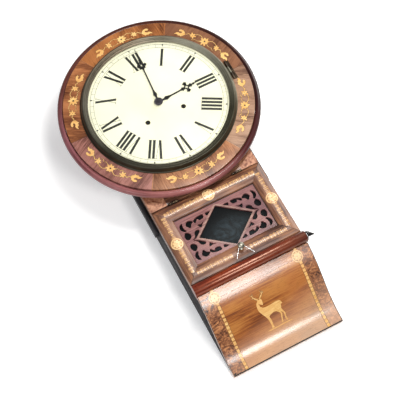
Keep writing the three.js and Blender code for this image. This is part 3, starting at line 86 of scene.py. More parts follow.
def arcPoints(cx, cy, radius, start, end, steps):
    turn = [math.radians(start + (end - start) * k / steps) for k in range(steps + 1)]
    return [(cx + radius * math.cos(a), cy + radius * math.sin(a)) for a in turn]


# Grain layouts: (u along the grain, v across it), from a point and the middle of its face.
def alongX(spot, middle):
    return spot.x, spot.z - spot.y


def alongZ(spot, middle):
    return spot.z, spot.x - spot.y


# Closes a bmesh into a finished object that rides on a body of the frame.
def finishPiece(name, bm, finish, body, stands=None, grain=alongX, crease=32, weld=0.004):
    bmesh.ops.remove_doubles(bm, verts=bm.verts, dist=weld * mm)
    bmesh.ops.dissolve_degenerate(bm, edges=bm.edges, dist=1e-7)
    bmesh.ops.recalc_face_normals(bm, faces=bm.faces)
    for edge in bm.edges:
        edge.smooth = len(edge.link_faces) == 2 and edge.calc_face_angle(0) < math.radians(crease)
    layer = bm.loops.layers.uv.new("grain")
    for face in bm.faces:
        face.smooth = True
        middle = face.calc_center_median() / mm
        for loop in face.loops:
            loop[layer].uv = [v * mm for v in grain(loop.vert.co / mm, middle)]
    mesh = bpy.data.meshes.new(name)
    bm.to_mesh(mesh)
    bm.free()
    for each in finish if isinstance(finish, list) else [finish]:
        mesh.materials.append(each)
    piece = bpy.data.objects.new(name, mesh)
    bpy.context.collection.objects.link(piece)
    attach(piece, body)
    if stands:
        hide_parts(stands)


def addFaces(bm, points, faces, marks=None):
    verts = [bm.verts.new(p) for p in points]
    for k, face in enumerate(faces):
        bm.faces.new([verts[i] for i in face]).material_index = marks[k] if marks else 0


# Faces between rows of n points; rows that don't go all the way around get an end at each side.
def gridFaces(rows, n, around=True, closed=True):
    faces = []
    for i in range(rows if around else rows - 1):
        j = (i + 1) % rows
        for k in range(n if closed else n - 1):
            m = (k + 1) % n
            faces.append((i * n + k, i * n + m, j * n + m, j * n + k))
    if not around:
        faces += [tuple(range(n)), tuple(range((rows - 1) * n, rows * n))]
    return faces


# A profile of (radius, distance along the axis), turned about d, x or z through a centre.
def turnInto(bm, profile, centre=(0, 0, 0), axis="d", steps=96, closed=True, rise=lambda along: 0):
    points = []
    for i in range(steps):
        a = 2 * math.pi * i / steps
        for r, along in profile:
            s, c = r * math.sin(a), r * math.cos(a)
            spot = {"d": (s, along, c), "x": (along, s, c + rise(along)), "z": (c, s, along)}[axis]
            points.append(placed(*[p + q for p, q in zip(centre, spot)]))
    addFaces(bm, points, gridFaces(steps, len(profile), closed=closed))


# A closed outline of (distance from the wall, z), run along x, with its ends eased.
def runInto(bm, outline, x0, x1, ease, stations=2):
    line = [Vector(p) for p in outline]
    middle = sum(line, Vector((0, 0))) / len(line)
    shrink = [(0.0, ease), (0.12 * ease, 0.55 * ease), (0.45 * ease, 0.15 * ease), (ease, 0.0)]
    rows = [(x0 + x, inset) for x, inset in shrink]
    rows += [(x0 + ease + (x1 - x0 - 2 * ease) * k / stations, 0.0) for k in range(1, stations)]
    rows += [(x1 - x, inset) for x, inset in reversed(shrink)]
    points = []
    for x, inset in rows:
        for i, p in enumerate(line):
            run = line[(i + 1) % len(line)] - line[i - 1]
            out = Vector((run.y, -run.x)).normalized()
            if (p + out * 0.01 - middle).length < (p - middle).length:
                out = -out
            points.append(placed(x, outline[i][0] - out.x * inset, outline[i][1] - out.y * inset))
    addFaces(bm, points, gridFaces(len(rows), len(line), around=False))


# Filled outlines in (x, z), with holes where one lies inside another, as a flat bmesh.
def fillFlat(loops):
    line = bpy.data.curves.new("cut", "CURVE")
    line.dimensions = "2D"
    line.fill_mode = "BOTH"
    for loop in loops:
        spline = line.splines.new("POLY")
        spline.points.add(len(loop) - 1)
        for point, (x, z) in zip(spline.points, loop):
            point.co = (x, z, 0, 1)
        spline.use_cyclic_u = True
    holder = bpy.data.objects.new("cut", line)
    bpy.context.collection.objects.link(holder)
    mesh = bpy.data.meshes.new_from_object(holder.evaluated_get(bpy.context.evaluated_depsgraph_get()))
    bpy.data.objects.remove(holder)
    bpy.data.curves.remove(line)
    bm = bmesh.new()
    bm.from_mesh(mesh)
    bpy.data.meshes.remove(mesh)
    bmesh.ops.remove_doubles(bm, verts=bm.verts, dist=1e-4)
    return bm


# A flat plate cut to outlines, from one distance from the wall to another, its front edge eased.
def cutPlate(name, loops, back, front, finish, body, stands, ease):
    bm = fillFlat(loops)
    rims = {}
    for edge in bm.edges:
        if len(edge.link_faces) == 1:
            a, b = [v.co for v in edge.verts]
            out = Vector((b.y - a.y, a.x - b.x, 0)).normalized()
            if out.dot(edge.link_faces[0].calc_center_median() - (a + b) / 2) > 0:
                out = -out
            for vert in edge.verts:
                rims[vert] = rims.get(vert, Vector((0, 0, 0))) + out
    made = bmesh.ops.extrude_face_region(bm, geom=bm.faces[:])
    for vert in made["geom"]:
        if isinstance(vert, bmesh.types.BMVert):
            vert.co.z -= front - back
    for vert, lean in rims.items():
        if lean.length > 1e-6:
            vert.co -= lean.normalized() * ease
            vert.co.z -= ease * 0.5
    for vert in bm.verts:
        vert.co = placed(vert.co.x, front + vert.co.z, vert.co.y)
    finishPiece(name, bm, finish, body, stands)


# Thin veneer let into a front: outlines in (x, z) on a distance, or on a surface(x, z) -> distance.
def inlayInto(bm, loops, surface, lift, depth=0.5, step=0):
    flat = fillFlat(loops)
    for axis in (1, 0):
        normal = Vector((1 - axis, axis, 0))
        reach = [v.co[axis] for v in flat.verts]
        cut = min(reach) + step
        while step and cut < max(reach):
            geom = flat.verts[:] + flat.edges[:] + flat.faces[:]
            bmesh.ops.bisect_plane(flat, geom=geom, plane_co=normal * cut, plane_no=normal)
            cut += step
    made = bmesh.ops.extrude_face_region(flat, geom=flat.faces[:])
    low = {e for e in made["geom"] if isinstance(e, bmesh.types.BMVert)}
    points = []
    flat.verts.index_update()
    for vert in flat.verts:
        d = surface(vert.co.x, vert.co.y) if callable(surface) else surface
        points.append(placed(vert.co.x, d - depth if vert in low else d + lift, vert.co.y))
    faces = [tuple(v.index for v in f.verts) for f in flat.faces]
    flat.free()
    addFaces(bm, points, faces)


def turned(loop, angle):
    c, s = math.cos(angle), math.sin(angle)
    return [(x * c - z * s, x * s + z * c) for x, z in loop]


# A tapering stroke along a line of points.
def stroke(points, w0, w1, steps=4):
    line = smoothLine(points, steps, closed=False)
    left, right = [], []
    for i, p in enumerate(line):
        a = Vector(line[max(i - 1, 0)])
        b = Vector(line[min(i + 1, len(line) - 1)])
        side = Vector((a.y - b.y, b.x - a.x)).normalized()
        w = (w0 + (w1 - w0) * i / (len(line) - 1)) / 2
        left.append(tuple(Vector(p) + side * w))
        right.append(tuple(Vector(p) - side * w))
    return left + right[::-1]


# A copy of a solid of the frame, merged, with its edges eased.
def dressCopy(node, finish, body, ease=0.4, grain=alongX, crease=32):
    bm = bmesh.new()
    bm.from_mesh(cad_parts[node].data)
    bmesh.ops.remove_doubles(bm, verts=bm.verts, dist=2e-6)
    bmesh.ops.dissolve_limit(bm, angle_limit=math.radians(2), verts=bm.verts, edges=bm.edges)
    if ease:
        sharp = math.radians(35)
        edges = [e for e in bm.edges if len(e.link_faces) == 2 and e.calc_face_angle(0) > sharp]
        bmesh.ops.bevel(bm, geom=edges, offset=ease * mm, offset_type="OFFSET", segments=2,
                        profile=0.5, affect="EDGES", clamp_overlap=True)
    finishPiece(node + "_dressed", bm, finish, body, node, grain, crease)


# Fills a node's inputs, by name or number, with values, sockets or the first outputs of nodes.
def feed(tree, node, inputs):
    for key, value in inputs.items():
        socket = node.inputs[key]
        if isinstance(value, bpy.types.Node):
            value = value.outputs[0]
        if isinstance(value, bpy.types.NodeSocket):
            tree.links.new(value, socket)
        elif socket.type == "RGBA" and len(value) == 3:
            socket.default_value = (*value, 1)
        else:
            socket.default_value = value


def addNode(tree, kind, inputs=None, **settings):
    node = tree.nodes.new(kind)
    for key, value in settings.items():
        setattr(node, key, value)
    feed(tree, node, inputs or {})
    return node


# Small helpers for material trees.
def startFinish(name):
    finish = bpy.data.materials.new(name)
    finish.use_nodes = True
    tree = finish.node_tree
    tree.nodes.clear()
    shader = addNode(tree, "ShaderNodeBsdfPrincipled")
    addNode(tree, "ShaderNodeOutputMaterial", {0: shader})
    return finish, tree, shader


def noiseOf(tree, coords, scale, detail=4.0, rough=0.55, distortion=0.0):
    return addNode(tree, "ShaderNodeTexNoise", {"Vector": coords, "Scale": scale, "Detail": detail,
                                                "Roughness": rough, "Distortion": distortion})


def stretch(tree, coords, scale, turn=(0, 0, 0), shift=(0, 0, 0)):
    return addNode(tree, "ShaderNodeMapping", {"Vector": coords, "Scale": scale, "Rotation": turn,
                                               "Location": shift})


def rampOf(tree, share, stops):
    node = addNode(tree, "ShaderNodeValToRGB", {0: share})
    elements = node.color_ramp.elements
    while len(elements) < len(stops):
        elements.new(0.5)
    for element, (at, colour) in zip(elements, stops):
        element.position = at
        element.color = (*colour, 1) if isinstance(colour, tuple) else (colour, colour, colour, 1)
    return node


def blend(tree, share, a, b, mode="MIX"):
    node = addNode(tree, "ShaderNodeMix", {}, data_type="RGBA", blend_type=mode)
    feed(tree, node, {0: share, 6: a, 7: b})
    return node.outputs[2]


def sums(tree, operation, a, b):
    return addNode(tree, "ShaderNodeMath", {0: a, 1: b}, operation=operation)


def bumpOf(tree, height, strength, distance):
    return addNode(tree, "ShaderNodeBump", {"Strength": strength, "Distance": distance, "Height": height})


def grainCoords(tree):
    return addNode(tree, "ShaderNodeUVMap", uv_map="grain")


def objectCoords(tree):
    return addNode(tree, "ShaderNodeTexCoord").outputs["Object"]


# Lets light straight through a finish wherever its share falls short of one.
def seeThrough(tree, shader, share, tint):
    clear = addNode(tree, "ShaderNodeBsdfTransparent", {0: tint})
    mix = addNode(tree, "ShaderNodeMixShader", {0: share, 1: clear, 2: shader})
    feed(tree, tree.nodes["Material Output"], {0: mix})


def rgb(r, g, b):
    return tuple((c / 255 / 12.92) if c <= 10 else ((c / 255 + 0.055) / 1.055) ** 2.4 for c in (r, g, b))


# Colours set round the head, at degrees clockwise from the top; the first is also the last. They paint
# light, shade and sheen that fall differently round the head, over the face ring's own veneer tones.
def toneAround(tree, look):
    split = addNode(tree, "ShaderNodeSeparateXYZ", {0: objectCoords(tree)}).outputs
    angle = sums(tree, "ARCTAN2", split[0], split[2])
    share = sums(tree, "ADD", sums(tree, "DIVIDE", angle, 2 * math.pi), 0.5)
    stops = [((degrees + 180) / 360, colour) for degrees, colour in look["around"]]
    tone = rampOf(tree, share, stops + [(1.0, look["around"][0][1])])
    if look.get("stepped"):
        tone.color_ramp.interpolation = "CONSTANT"
    return tone


# Lets a wood grow paler or darker along a direction: a painted sheen low on the lower panel and its side
# strips, painted shade at the roll's right end.
def fadeOver(tree, colour, look):
    if "paintedFade" not in look:
        return colour
    lean, begin, reach, fadeColour, amount = look["paintedFade"]
    slope = addNode(tree, "ShaderNodeVectorMath", {0: objectCoords(tree), 1: lean}, operation="DOT_PRODUCT")
    run = sums(tree, "DIVIDE", sums(tree, "SUBTRACT", slope.outputs["Value"], begin), reach)
    share = rampOf(tree, run, [(0.0, 0.0), (1.0, amount)])
    return blend(tree, share, colour, tuple(v * look["depth"] for v in fadeColour))


# Polished veneer or solid wood: long streaks, fine pores, slow patches of tone, worn polish.
plainWood = {"depth": 0.8, "along": 60, "across": 500, "turn": (0, 0, 0), "drift": 0.5, "twist": 1.2,
             "patch": 0.5, "pores": 0.5, "rough": (0.28, 0.4), "coat": 0.2, "coatRough": 0.14, "bump": 0.08,
             "shine": 0.4, "tint": (1.0, 1.0, 1.0)}


def woodFinish(name, ownLook):
    finish, tree, shader = startFinish(name)
    look = {**plainWood, **ownLook}
    deep = [tuple(v * look["depth"] for v in tone) for tone in look["tones"]]
    coords = objectCoords(tree) if look.get("solid") else grainCoords(tree)
    along, across, turn = look["along"], look["across"], look["turn"]
    figure = noiseOf(tree, stretch(tree, coords, (along, across, across), turn), 1.0, 6, 0.6, look["twist"])
    wander = noiseOf(tree, stretch(tree, coords, (9, 26, 26), turn), 1.0, 3, 0.5)
    wander = sums(tree, "SUBTRACT", wander, 0.5)
    streak = sums(tree, "ADD", figure, sums(tree, "MULTIPLY", wander, look["drift"]))
    colour = rampOf(tree, streak, [(0.30, deep[0]), (0.46, deep[1]), (0.62, deep[2])])
    patches = rampOf(tree, noiseOf(tree, coords, 14, 2, 0.5), [(0.38, 0.0), (0.66, 1.0)])
    colour = blend(tree, sums(tree, "MULTIPLY", patches, look["patch"]), colour, deep[3])
    # Painted sheen or shade along a direction, where a look gives one.
    colour = fadeOver(tree, colour, look)
    fine = stretch(tree, coords, (along * 9, across * 9, across * 9), turn)
    pores = rampOf(tree, noiseOf(tree, fine, 1.0, 2, 0.5), [(0.30, 1.0), (0.42, 0.0)])
    colour = blend(tree, sums(tree, "MULTIPLY", pores, look["pores"]), colour, deep[4])
    # Painted light, shade and sheen round the head, where a look gives them.
    if "around" in look:
        colour = blend(tree, 1.0, colour, toneAround(tree, look), "MULTIPLY")
        colour = blend(tree, 1.0, colour, (2.0, 2.0, 2.0), "MULTIPLY")
    low, high = look["rough"]
    wear = rampOf(tree, noiseOf(tree, coords, 40, 4, 0.6), [(0.3, low), (0.7, high)])
    relief = sums(tree, "ADD", figure, sums(tree, "MULTIPLY", pores, -0.8))
    feed(tree, shader, {"Base Color": colour, "Roughness": wear, "Specular Tint": look["tint"],
                        "Specular IOR Level": look["shine"], "Coat Weight": look["coat"],
                        "Coat Roughness": look["coatRough"],
                        "Normal": bumpOf(tree, relief, look["bump"], 0.0002)})
    return finish


# Tones round the face ring, one per cut of veneer: partly each cut's own tone, partly painted light and a
# painted pinkish sheen at the right and lower left.
segmentTonesAndSheen = [(-180, rgb(138, 92, 62)), (-150, rgb(138, 92, 82)), (-90, rgb(154, 98, 60)),
                (-30, rgb(146, 90, 48)), (30, rgb(116, 76, 52)), (90, rgb(142, 110, 88)),
                (150, rgb(138, 92, 62))]
# Painted light round the rim moulding: a painted pinkish highlight low at the left, painted shade at the top
# and the right.
rimPaintedLight = [(-165, rgb(146, 92, 88)), (-85, rgb(128, 80, 84)), (-55, rgb(84, 44, 38)),
            (0, rgb(66, 30, 18)), (105, rgb(34, 6, 6)), (150, rgb(66, 26, 26))]
dullSide = {"along": 10, "across": 220, "drift": 0.8, "rough": (0.5, 0.68), "coat": 0.0, "coatRough": 0.3,
            "bump": 0.2}
fretCut = {"along": 20, "across": 420, "coatRough": 0.16, "shine": 0.1}
woodLooks = {  # the tones are dark, middle, light, patch and pore
    "walnutVeneer": {"tones": [(0.13, 0.09, 0.08), (0.48, 0.46, 0.44), (0.76, 0.8, 0.82), (0.38, 0.34, 0.36),
                               (0.16, 0.12, 0.1)],
                     "depth": 1.0, "along": 16, "across": 300, "drift": 1.3, "twist": 2.4, "pores": 0.6,
                     "bump": 0.12, "shine": 0.3, "around": segmentTonesAndSheen, "stepped": True},
    "doorWalnut": {"tones": [rgb(62, 36, 24), rgb(118, 74, 50), rgb(166, 114, 80), rgb(98, 66, 58),
                             rgb(50, 32, 28)],
                   "along": 14, "across": 400, "drift": 1.0, "rough": (0.32, 0.46), "coat": 0.15,
                   "coatRough": 0.3, "bump": 0.12, "shine": 0.45},
    # The lower panel's fade is a painted sheen, paler towards its foot and a little towards its right.
    "panelWalnut": {"tones": [rgb(124, 60, 20), rgb(178, 100, 38), rgb(210, 136, 62), rgb(190, 106, 50),
                              rgb(84, 42, 18)],
                    "depth": 0.72, "along": 9, "across": 260, "drift": 1.1, "twist": 1.8, "pores": 0.6,
                    "rough": (0.28, 0.42), "coat": 0.9, "coatRough": 0.185, "bump": 0.025, "shine": 0.35,
                    "tint": (1.0, 0.88, 0.7), "paintedFade": ((0.2, 0, -1), 0.478, 0.08, rgb(255, 216, 180), 0.62)},
    "fretWood": {"tones": [rgb(104, 62, 60), rgb(148, 96, 94), rgb(184, 130, 122), rgb(136, 96, 104),
                           rgb(80, 48, 48)],
                 **fretCut, "depth": 0.66, "drift": 0.8, "bump": 0.12},
    "fretEdge": {"tones": [rgb(126, 92, 82), rgb(164, 124, 112), rgb(190, 152, 138), rgb(150, 116, 118),
                           rgb(90, 62, 56)],
                 **fretCut, "depth": 0.72, "drift": 0.6, "pores": 0.4, "bump": 0.1},
    # The roll's fade is painted shade, darker towards its right end.
    "mahogany": {"tones": [rgb(104, 26, 10), rgb(156, 50, 20), rgb(206, 86, 34), rgb(104, 28, 12),
                           rgb(60, 12, 6)],
                 "depth": 0.52, "along": 12, "across": 520, "drift": 0.7, "patch": 0.6,
                 "rough": (0.25, 0.33), "coat": 0.1, "coatRough": 0.15, "bump": 0.03, "shine": 1.0,
                 "tint": (1.0, 0.6, 0.42),
                 "paintedFade": ((1, 0, 0), 0.02, 0.09, rgb(60, 18, 20), 0.8)},
    "rimMahogany": {"tones": [(0.3, 0.24, 0.24), (0.5, 0.48, 0.48), (0.68, 0.7, 0.68), (0.4, 0.34, 0.4),
                              (0.2, 0.14, 0.14)],
                    "depth": 1.0, "along": 8, "across": 260, "drift": 0.8, "patch": 0.4,
                    "rough": (0.3, 0.42), "coat": 0.32, "bump": 0.03, "shine": 0.15, "around": rimPaintedLight},
    "boxwood": {"tones": [rgb(198, 136, 66), rgb(230, 176, 100), rgb(248, 206, 136), rgb(236, 180, 110),
                          rgb(150, 96, 48)], "depth": 0.9, "pores": 0.3},
    "paleBoxwood": {"tones": [rgb(206, 160, 100), rgb(234, 196, 136), rgb(250, 224, 172), rgb(228, 184, 140),
                              rgb(160, 112, 66)], "depth": 0.9, "pores": 0.3},
    "bandBoxwood": {"tones": [rgb(172, 118, 62), rgb(212, 160, 98), rgb(234, 192, 132), rgb(192, 140, 92),
                              rgb(150, 100, 66)], "depth": 0.76, "patch": 0.6, "pores": 0.4},
    "amberWood": {"tones": [rgb(146, 96, 60), rgb(184, 134, 90), rgb(208, 160, 112), rgb(168, 116, 86),
                            rgb(96, 54, 30)], "depth": 0.9, "patch": 0.4, "pores": 0.4},
    "blackWood": {"tones": [rgb(6, 5, 5), rgb(14, 12, 12), rgb(28, 24, 25), rgb(12, 12, 15), rgb(3, 3, 3)],
                  "along": 14, "across": 300, "drift": 0.4, "patch": 0.3, "pores": 0.3, "rough": (0.2, 0.3),
                  "coat": 0.25, "coatRough": 0.08, "bump": 0.06, "shine": 0.3},
    "darkSide": {"tones": [rgb(12, 9, 10), rgb(26, 21, 22), rgb(48, 42, 43), rgb(38, 36, 40), rgb(5, 4, 4)],
                 **dullSide, "shine": 0.12},
    "earWood": {"tones": [rgb(30, 28, 28), rgb(52, 50, 52), rgb(80, 78, 80), rgb(64, 62, 66),
                          rgb(16, 15, 15)], **dullSide, "shine": 0.15},
    "pine": {"tones": [rgb(136, 96, 58), rgb(176, 136, 88), rgb(200, 164, 114), rgb(140, 108, 74),
                       rgb(100, 70, 44)],
             "along": 6, "across": 120, "drift": 0.8, "patch": 0.4, "pores": 0.3, "rough": (0.55, 0.75),
             "coat": 0.0, "coatRough": 0.3, "bump": 0.3},
}
woods = {name: woodFinish(name, look) for name, look in woodLooks.items()}
solidPine = woodFinish("solidPine", {**woodLooks["pine"], "solid": True, "turn": (0, math.pi / 2, 0)})


# Knotty burr: swirls and eyes in place of streaks.
def burrFinish(name, look):
    finish, tree, shader = startFinish(name)
    coords = grainCoords(tree)
    swirl = noiseOf(tree, coords, look["swirl"], 5, 0.6, 2.2)
    eyes = addNode(tree, "ShaderNodeTexVoronoi", {"Vector": coords, "Scale": look["eyes"]})
    colour = rampOf(tree, swirl, [(0.34, look["dark"]), (0.5, look["mid"]), (0.64, look["light"])])
    spots = sums(tree, "MULTIPLY", rampOf(tree, eyes.outputs["Distance"], [(0.08, 1.0), (0.3, 0.0)]), 0.6)
    # Painted sheen along a direction, where a look gives one.
    colour = fadeOver(tree, blend(tree, spots, colour, look["dark"]), look)
    feed(tree, shader, {"Base Color": colour, "Roughness": rampOf(tree, swirl, [(0.3, 0.26), (0.7, 0.4)]),
                        "Coat Weight": 0.35, "Coat Roughness": 0.14,
                        "Normal": bumpOf(tree, swirl, 0.06, 0.0002)})
    return finish


burrWalnut = burrFinish("burrWalnut", {"swirl": 60, "eyes": 130, "dark": rgb(112, 66, 46),
                                       "mid": rgb(166, 112, 84), "light": rgb(200, 148, 114)})
# The side strips' fade is a painted sheen, paler towards their foot and the right.
sideBurr = burrFinish("sideBurr", {"swirl": 75, "eyes": 160, "depth": 0.95, "dark": rgb(56, 28, 16),
                                   "mid": rgb(134, 80, 46), "light": rgb(196, 134, 84),
                                   "paintedFade": ((0.3, 0, -1), 0.49, 0.08, rgb(226, 184, 154), 0.55)})


# Metal, paint, ink and putty: a slow cloud of tones under fine scratches or specks of the last tone.
def cloudFinish(name, look):
    finish, tree, shader = startFinish(name)
    coords = objectCoords(tree)
    cloud = noiseOf(tree, coords, look["cloud"], 5, look["clouding"])
    speck = noiseOf(tree, coords, look["speck"], 2, 0.5)
    specks = rampOf(tree, speck, [(look["mask"][0], 0.0), (look["mask"][1], look["specks"])])
    colour = rampOf(tree, cloud, list(zip(look["stops"], look["tones"])))
    colour = blend(tree, specks, colour, look["tones"][2])
    # Painted reflection and shade round the bezel, where a look gives them.
    if "around" in look:
        colour = blend(tree, 1.0, colour, toneAround(tree, look), "MULTIPLY")
    low, high = look["rough"]
    feed(tree, shader, {"Base Color": colour, "Metallic": look["metal"],
                        "Roughness": rampOf(tree, cloud, [(0.3, low), (0.7, high)]),
                        "Normal": bumpOf(tree, speck, look["bump"], 0.00005)})
    return finish


plainMetal = {"stops": (0.32, 0.52, 0.70), "mask": (0.45, 0.8), "clouding": 0.6, "speck": 900, "specks": 0.3,
              "metal": 1.0, "rough": (0.25, 0.45), "bump": 0.1}
# Painted reflection round the bezel, brightest at the upper right, with painted shade low down and at the
# left.
bezelPaintedReflection = [(-150, (0.16, 0.15, 0.13)), (-65, (0.17, 0.16, 0.15)), (0, (0.32, 0.26, 0.22)),
              (58, (0.86, 0.85, 0.83)), (125, (0.15, 0.14, 0.11))]
metalLooks = {  # the tones are dark, middle and light
    "agedBrass": {"cloud": 12, "tones": [rgb(126, 124, 108), rgb(150, 148, 132), rgb(176, 173, 156)],
                  "metal": 0.8, "rough": (0.34, 0.46), "around": bezelPaintedReflection},
    "brass": {"cloud": 60, "tones": [rgb(140, 106, 52), rgb(186, 150, 84), rgb(220, 190, 122)],
              "rough": (0.22, 0.4)},
    "hingeBrass": {"cloud": 80, "tones": [rgb(36, 30, 26), rgb(64, 54, 44), rgb(116, 100, 80)],
                   "specks": 0.4, "bump": 0.15},
    "greyKnob": {"cloud": 160, "tones": [rgb(110, 106, 94), rgb(160, 156, 142), rgb(206, 202, 190)],
                 "bump": 0.15},
    "steel": {"cloud": 70, "tones": [rgb(120, 120, 122), rgb(166, 166, 168), rgb(206, 206, 208)],
              "rough": (0.2, 0.34)},
    "brightWire": {"cloud": 200, "tones": [rgb(190, 190, 190), rgb(226, 226, 226), rgb(248, 248, 248)],
                   "specks": 0.2, "metal": 0.7, "rough": (0.18, 0.3), "bump": 0.08},
    "blackSteel": {"cloud": 90, "tones": [rgb(8, 8, 9), rgb(15, 14, 16), rgb(36, 34, 38)],
                   "specks": 0.2, "metal": 0.4, "rough": (0.3, 0.46), "bump": 0.12},
    "nutSteel": {"cloud": 110, "tones": [rgb(44, 40, 46), rgb(66, 62, 70), rgb(96, 92, 102)],
                 "specks": 0.25, "metal": 0.8, "rough": (0.34, 0.5), "bump": 0.12},
    "iron": {"cloud": 50, "tones": [rgb(22, 20, 20), rgb(38, 36, 36), rgb(60, 58, 58)],
             "specks": 0.2, "metal": 0.5, "rough": (0.5, 0.7), "bump": 0.4},
}
metals = {name: cloudFinish(name, {**plainMetal, **look}) for name, look in metalLooks.items()}
plainPaint = {"stops": (0.35, 0.65), "mask": (0.66, 0.78), "clouding": 0.55, "metal": 0.0}
plainLooks = {  # the tones are dark, light and speck
    "dialPaint": {"cloud": 9, "speck": 900, "specks": 0.1, "rough": (0.35, 0.5), "bump": 0.05,
                  "tones": [rgb(230, 229, 203), rgb(242, 241, 218), rgb(200, 190, 150)]},
    "numeralInk": {"cloud": 60, "speck": 1200, "specks": 0.5, "rough": (0.4, 0.55), "bump": 0.1,
                   "tones": [rgb(18, 20, 16), rgb(30, 32, 26), rgb(70, 70, 58)]},
    "trackInk": {"cloud": 40, "speck": 700, "specks": 0.4, "rough": (0.4, 0.55), "bump": 0.05,
                 "tones": [rgb(86, 86, 78), rgb(128, 126, 114), rgb(220, 216, 192)]},
    "puttyGrey": {"cloud": 80, "speck": 1200, "specks": 0.3, "rough": (0.6, 0.8), "bump": 0.4,
                  "tones": [rgb(120, 112, 92), rgb(164, 156, 132), rgb(90, 82, 66)]},
    "seamDark": {"cloud": 60, "speck": 900, "specks": 0.3, "rough": (0.5, 0.7), "bump": 0.2,
                 "tones": [rgb(20, 14, 12), rgb(38, 28, 24), rgb(60, 46, 40)]},
}
plains = {name: cloudFinish(name, {**plainPaint, **look}) for name, look in plainLooks.items()}
seamDark = plains["seamDark"]

# Clear glass: straight through, with a gloss that grows towards the edge.
clearLook = {"gloss": 0.03, "haze": 0.03, "tint": (1, 1, 0.99), "skin": (0.9, 0.92, 0.9)}
clearGlass, tree, shader = startFinish("clearGlass")
feed(tree, shader, {"Base Color": clearLook["skin"], "Roughness": clearLook["gloss"], "Metallic": 1.0})
facing = addNode(tree, "ShaderNodeLayerWeight", {0: 0.5}).outputs["Facing"]
edge = sums(tree, "MULTIPLY", sums(tree, "POWER", facing, 4.0), 0.8)
smear = noiseOf(tree, objectCoords(tree), 16, 4, 0.6)
smears = rampOf(tree, smear, [(0.4, 0.02), (0.75, clearLook["haze"])])
seeThrough(tree, shader, sums(tree, "ADD", edge, smears), clearLook["tint"])

# Window glass over a dark case, with painted shade: nearly black for the shaded case behind it, and a
# painted reflection, hazy and bluish, low in the middle where smears break it up.
paintedGlassLook = {"deep": rgb(5, 8, 10), "haze": rgb(58, 70, 76), "tint": (0.6, 0.7, 0.75), "cover": 0.9}
glassWithPaintedShade, tree, shader = startFinish("glassWithPaintedShade")
coords = objectCoords(tree)
low = stretch(tree, coords, (16, 1, 22), shift=(0.0, 0, 6.9))
paintedReflectionSpot = addNode(tree, "ShaderNodeTexGradient", {0: low}, gradient_type="SPHERICAL")
smear = noiseOf(tree, coords, 30, 5, 0.6, 2.4)
amount = sums(tree, "MULTIPLY", paintedReflectionSpot.outputs[1], rampOf(tree, smear, [(0.42, 0.1), (0.66, 1.0)]))
feed(tree, shader, {"Base Color": blend(tree, amount, paintedGlassLook["deep"], paintedGlassLook["haze"]),
                    "Roughness": rampOf(tree, smear, [(0.3, 0.4), (0.7, 0.55)]), "Specular IOR Level": 0.1})
seeThrough(tree, shader, paintedGlassLook["cover"], paintedGlassLook["tint"])
print("finishes made")


# Camera, worked out from the photograph's dial and case edges.
view = {"place": (-0.41286, -2.03110, -1.04630), "lens": 96.074,
        "right": (0.88516851, 0.01878401, -0.46489125), "up": (0.42792908, -0.42507063, 0.79761624),
        "back": (-0.18262918, -0.90496526, -0.38429736)}
lensData = bpy.data.cameras.new("photoCamera")
lensData.lens = view["lens"]
lensData.sensor_width = 36
lensData.clip_end = 50
camera = bpy.data.objects.new("photoCamera", lensData)
bpy.context.collection.objects.link(camera)
axes = Matrix((view["right"], view["up"], view["back"])).transposed()
camera.matrix_world = Matrix.Translation(view["place"]) @ axes.to_4x4()
bpy.context.scene.camera = camera
bpy.context.scene.view_settings.view_transform = "Standard"

# A pale wall behind, which is clear from its back, and soft light from the front.
studio = {"wallSize": 6.0, "wallGap": 0.0012, "wallGlow": 0.3, "sky": 0.26, "aim": (0, -0.05, -0.15)}
lamps = {  # place, size, power and colour
    "keyLight": ((2.5, -1.35, 1.0), (2.1, 2.1), 62, (1.0, 0.98, 0.95)),
    "fillLight": ((-1.7, -1.7, -0.9), (1.3, 1.3), 16, (0.94, 0.96, 1.0)),
    "lowLamp": ((0.27, -1.95, -1.48), (0.66, 0.44), 18, (1.0, 0.99, 0.97)),
    "midLamp": ((0.21, -1.05, -0.08), (0.42, 0.1), 7, (1.0, 0.98, 0.95)),
}
wallFinish, tree, shader = startFinish("paleWall")
feed(tree, shader, {"Base Color": (0.9, 0.9, 0.9), "Roughness": 0.9, "Emission Color": (1, 1, 1),
                    "Emission Strength": studio["wallGlow"]})
behind = addNode(tree, "ShaderNodeNewGeometry").outputs["Backfacing"]
seeThrough(tree, shader, sums(tree, "SUBTRACT", 1.0, behind), (1, 1, 1))
half = studio["wallSize"] / 2
wallMesh = bpy.data.meshes.new("wall")
wallSpots = [(sx * half, studio["wallGap"], sz * half) for sx, sz in ((-1, -1), (1, -1), (1, 1), (-1, 1))]
wallMesh.from_pydata(wallSpots, [], [(0, 1, 2, 3)])
wall = bpy.data.objects.new("wall", wallMesh)
bpy.context.collection.objects.link(wall)
wallMesh.materials.append(wallFinish)
wall.visible_shadow = False

sky = bpy.data.worlds.new("studioSky")
bpy.context.scene.world = sky
sky.use_nodes = True
feed(sky.node_tree, sky.node_tree.nodes["Background"], {0: (0.97, 0.98, 1.0), 1: studio["sky"]})

for name, (place, size, power, colour) in lamps.items():
    lamp = bpy.data.lights.new(name, "AREA")
    lamp.shape = "ELLIPSE"
    lamp.size, lamp.size_y = size
    lamp.energy = power
    lamp.color = colour
    stand = bpy.data.objects.new(name, lamp)
    bpy.context.collection.objects.link(stand)
    stand.location = place
    stand.visible_camera = False
    stand.rotation_euler = (Vector(studio["aim"]) - Vector(place)).to_track_quat("-Z", "Y").to_euler()
print("camera and studio made")


# Face ring of the head: six cuts of veneer with their grain towards the middle.
faceRing = {"bore": 145, "outer": 198.5, "back": 93.3, "front": 122.8, "ease": 0.8, "steps": 192}


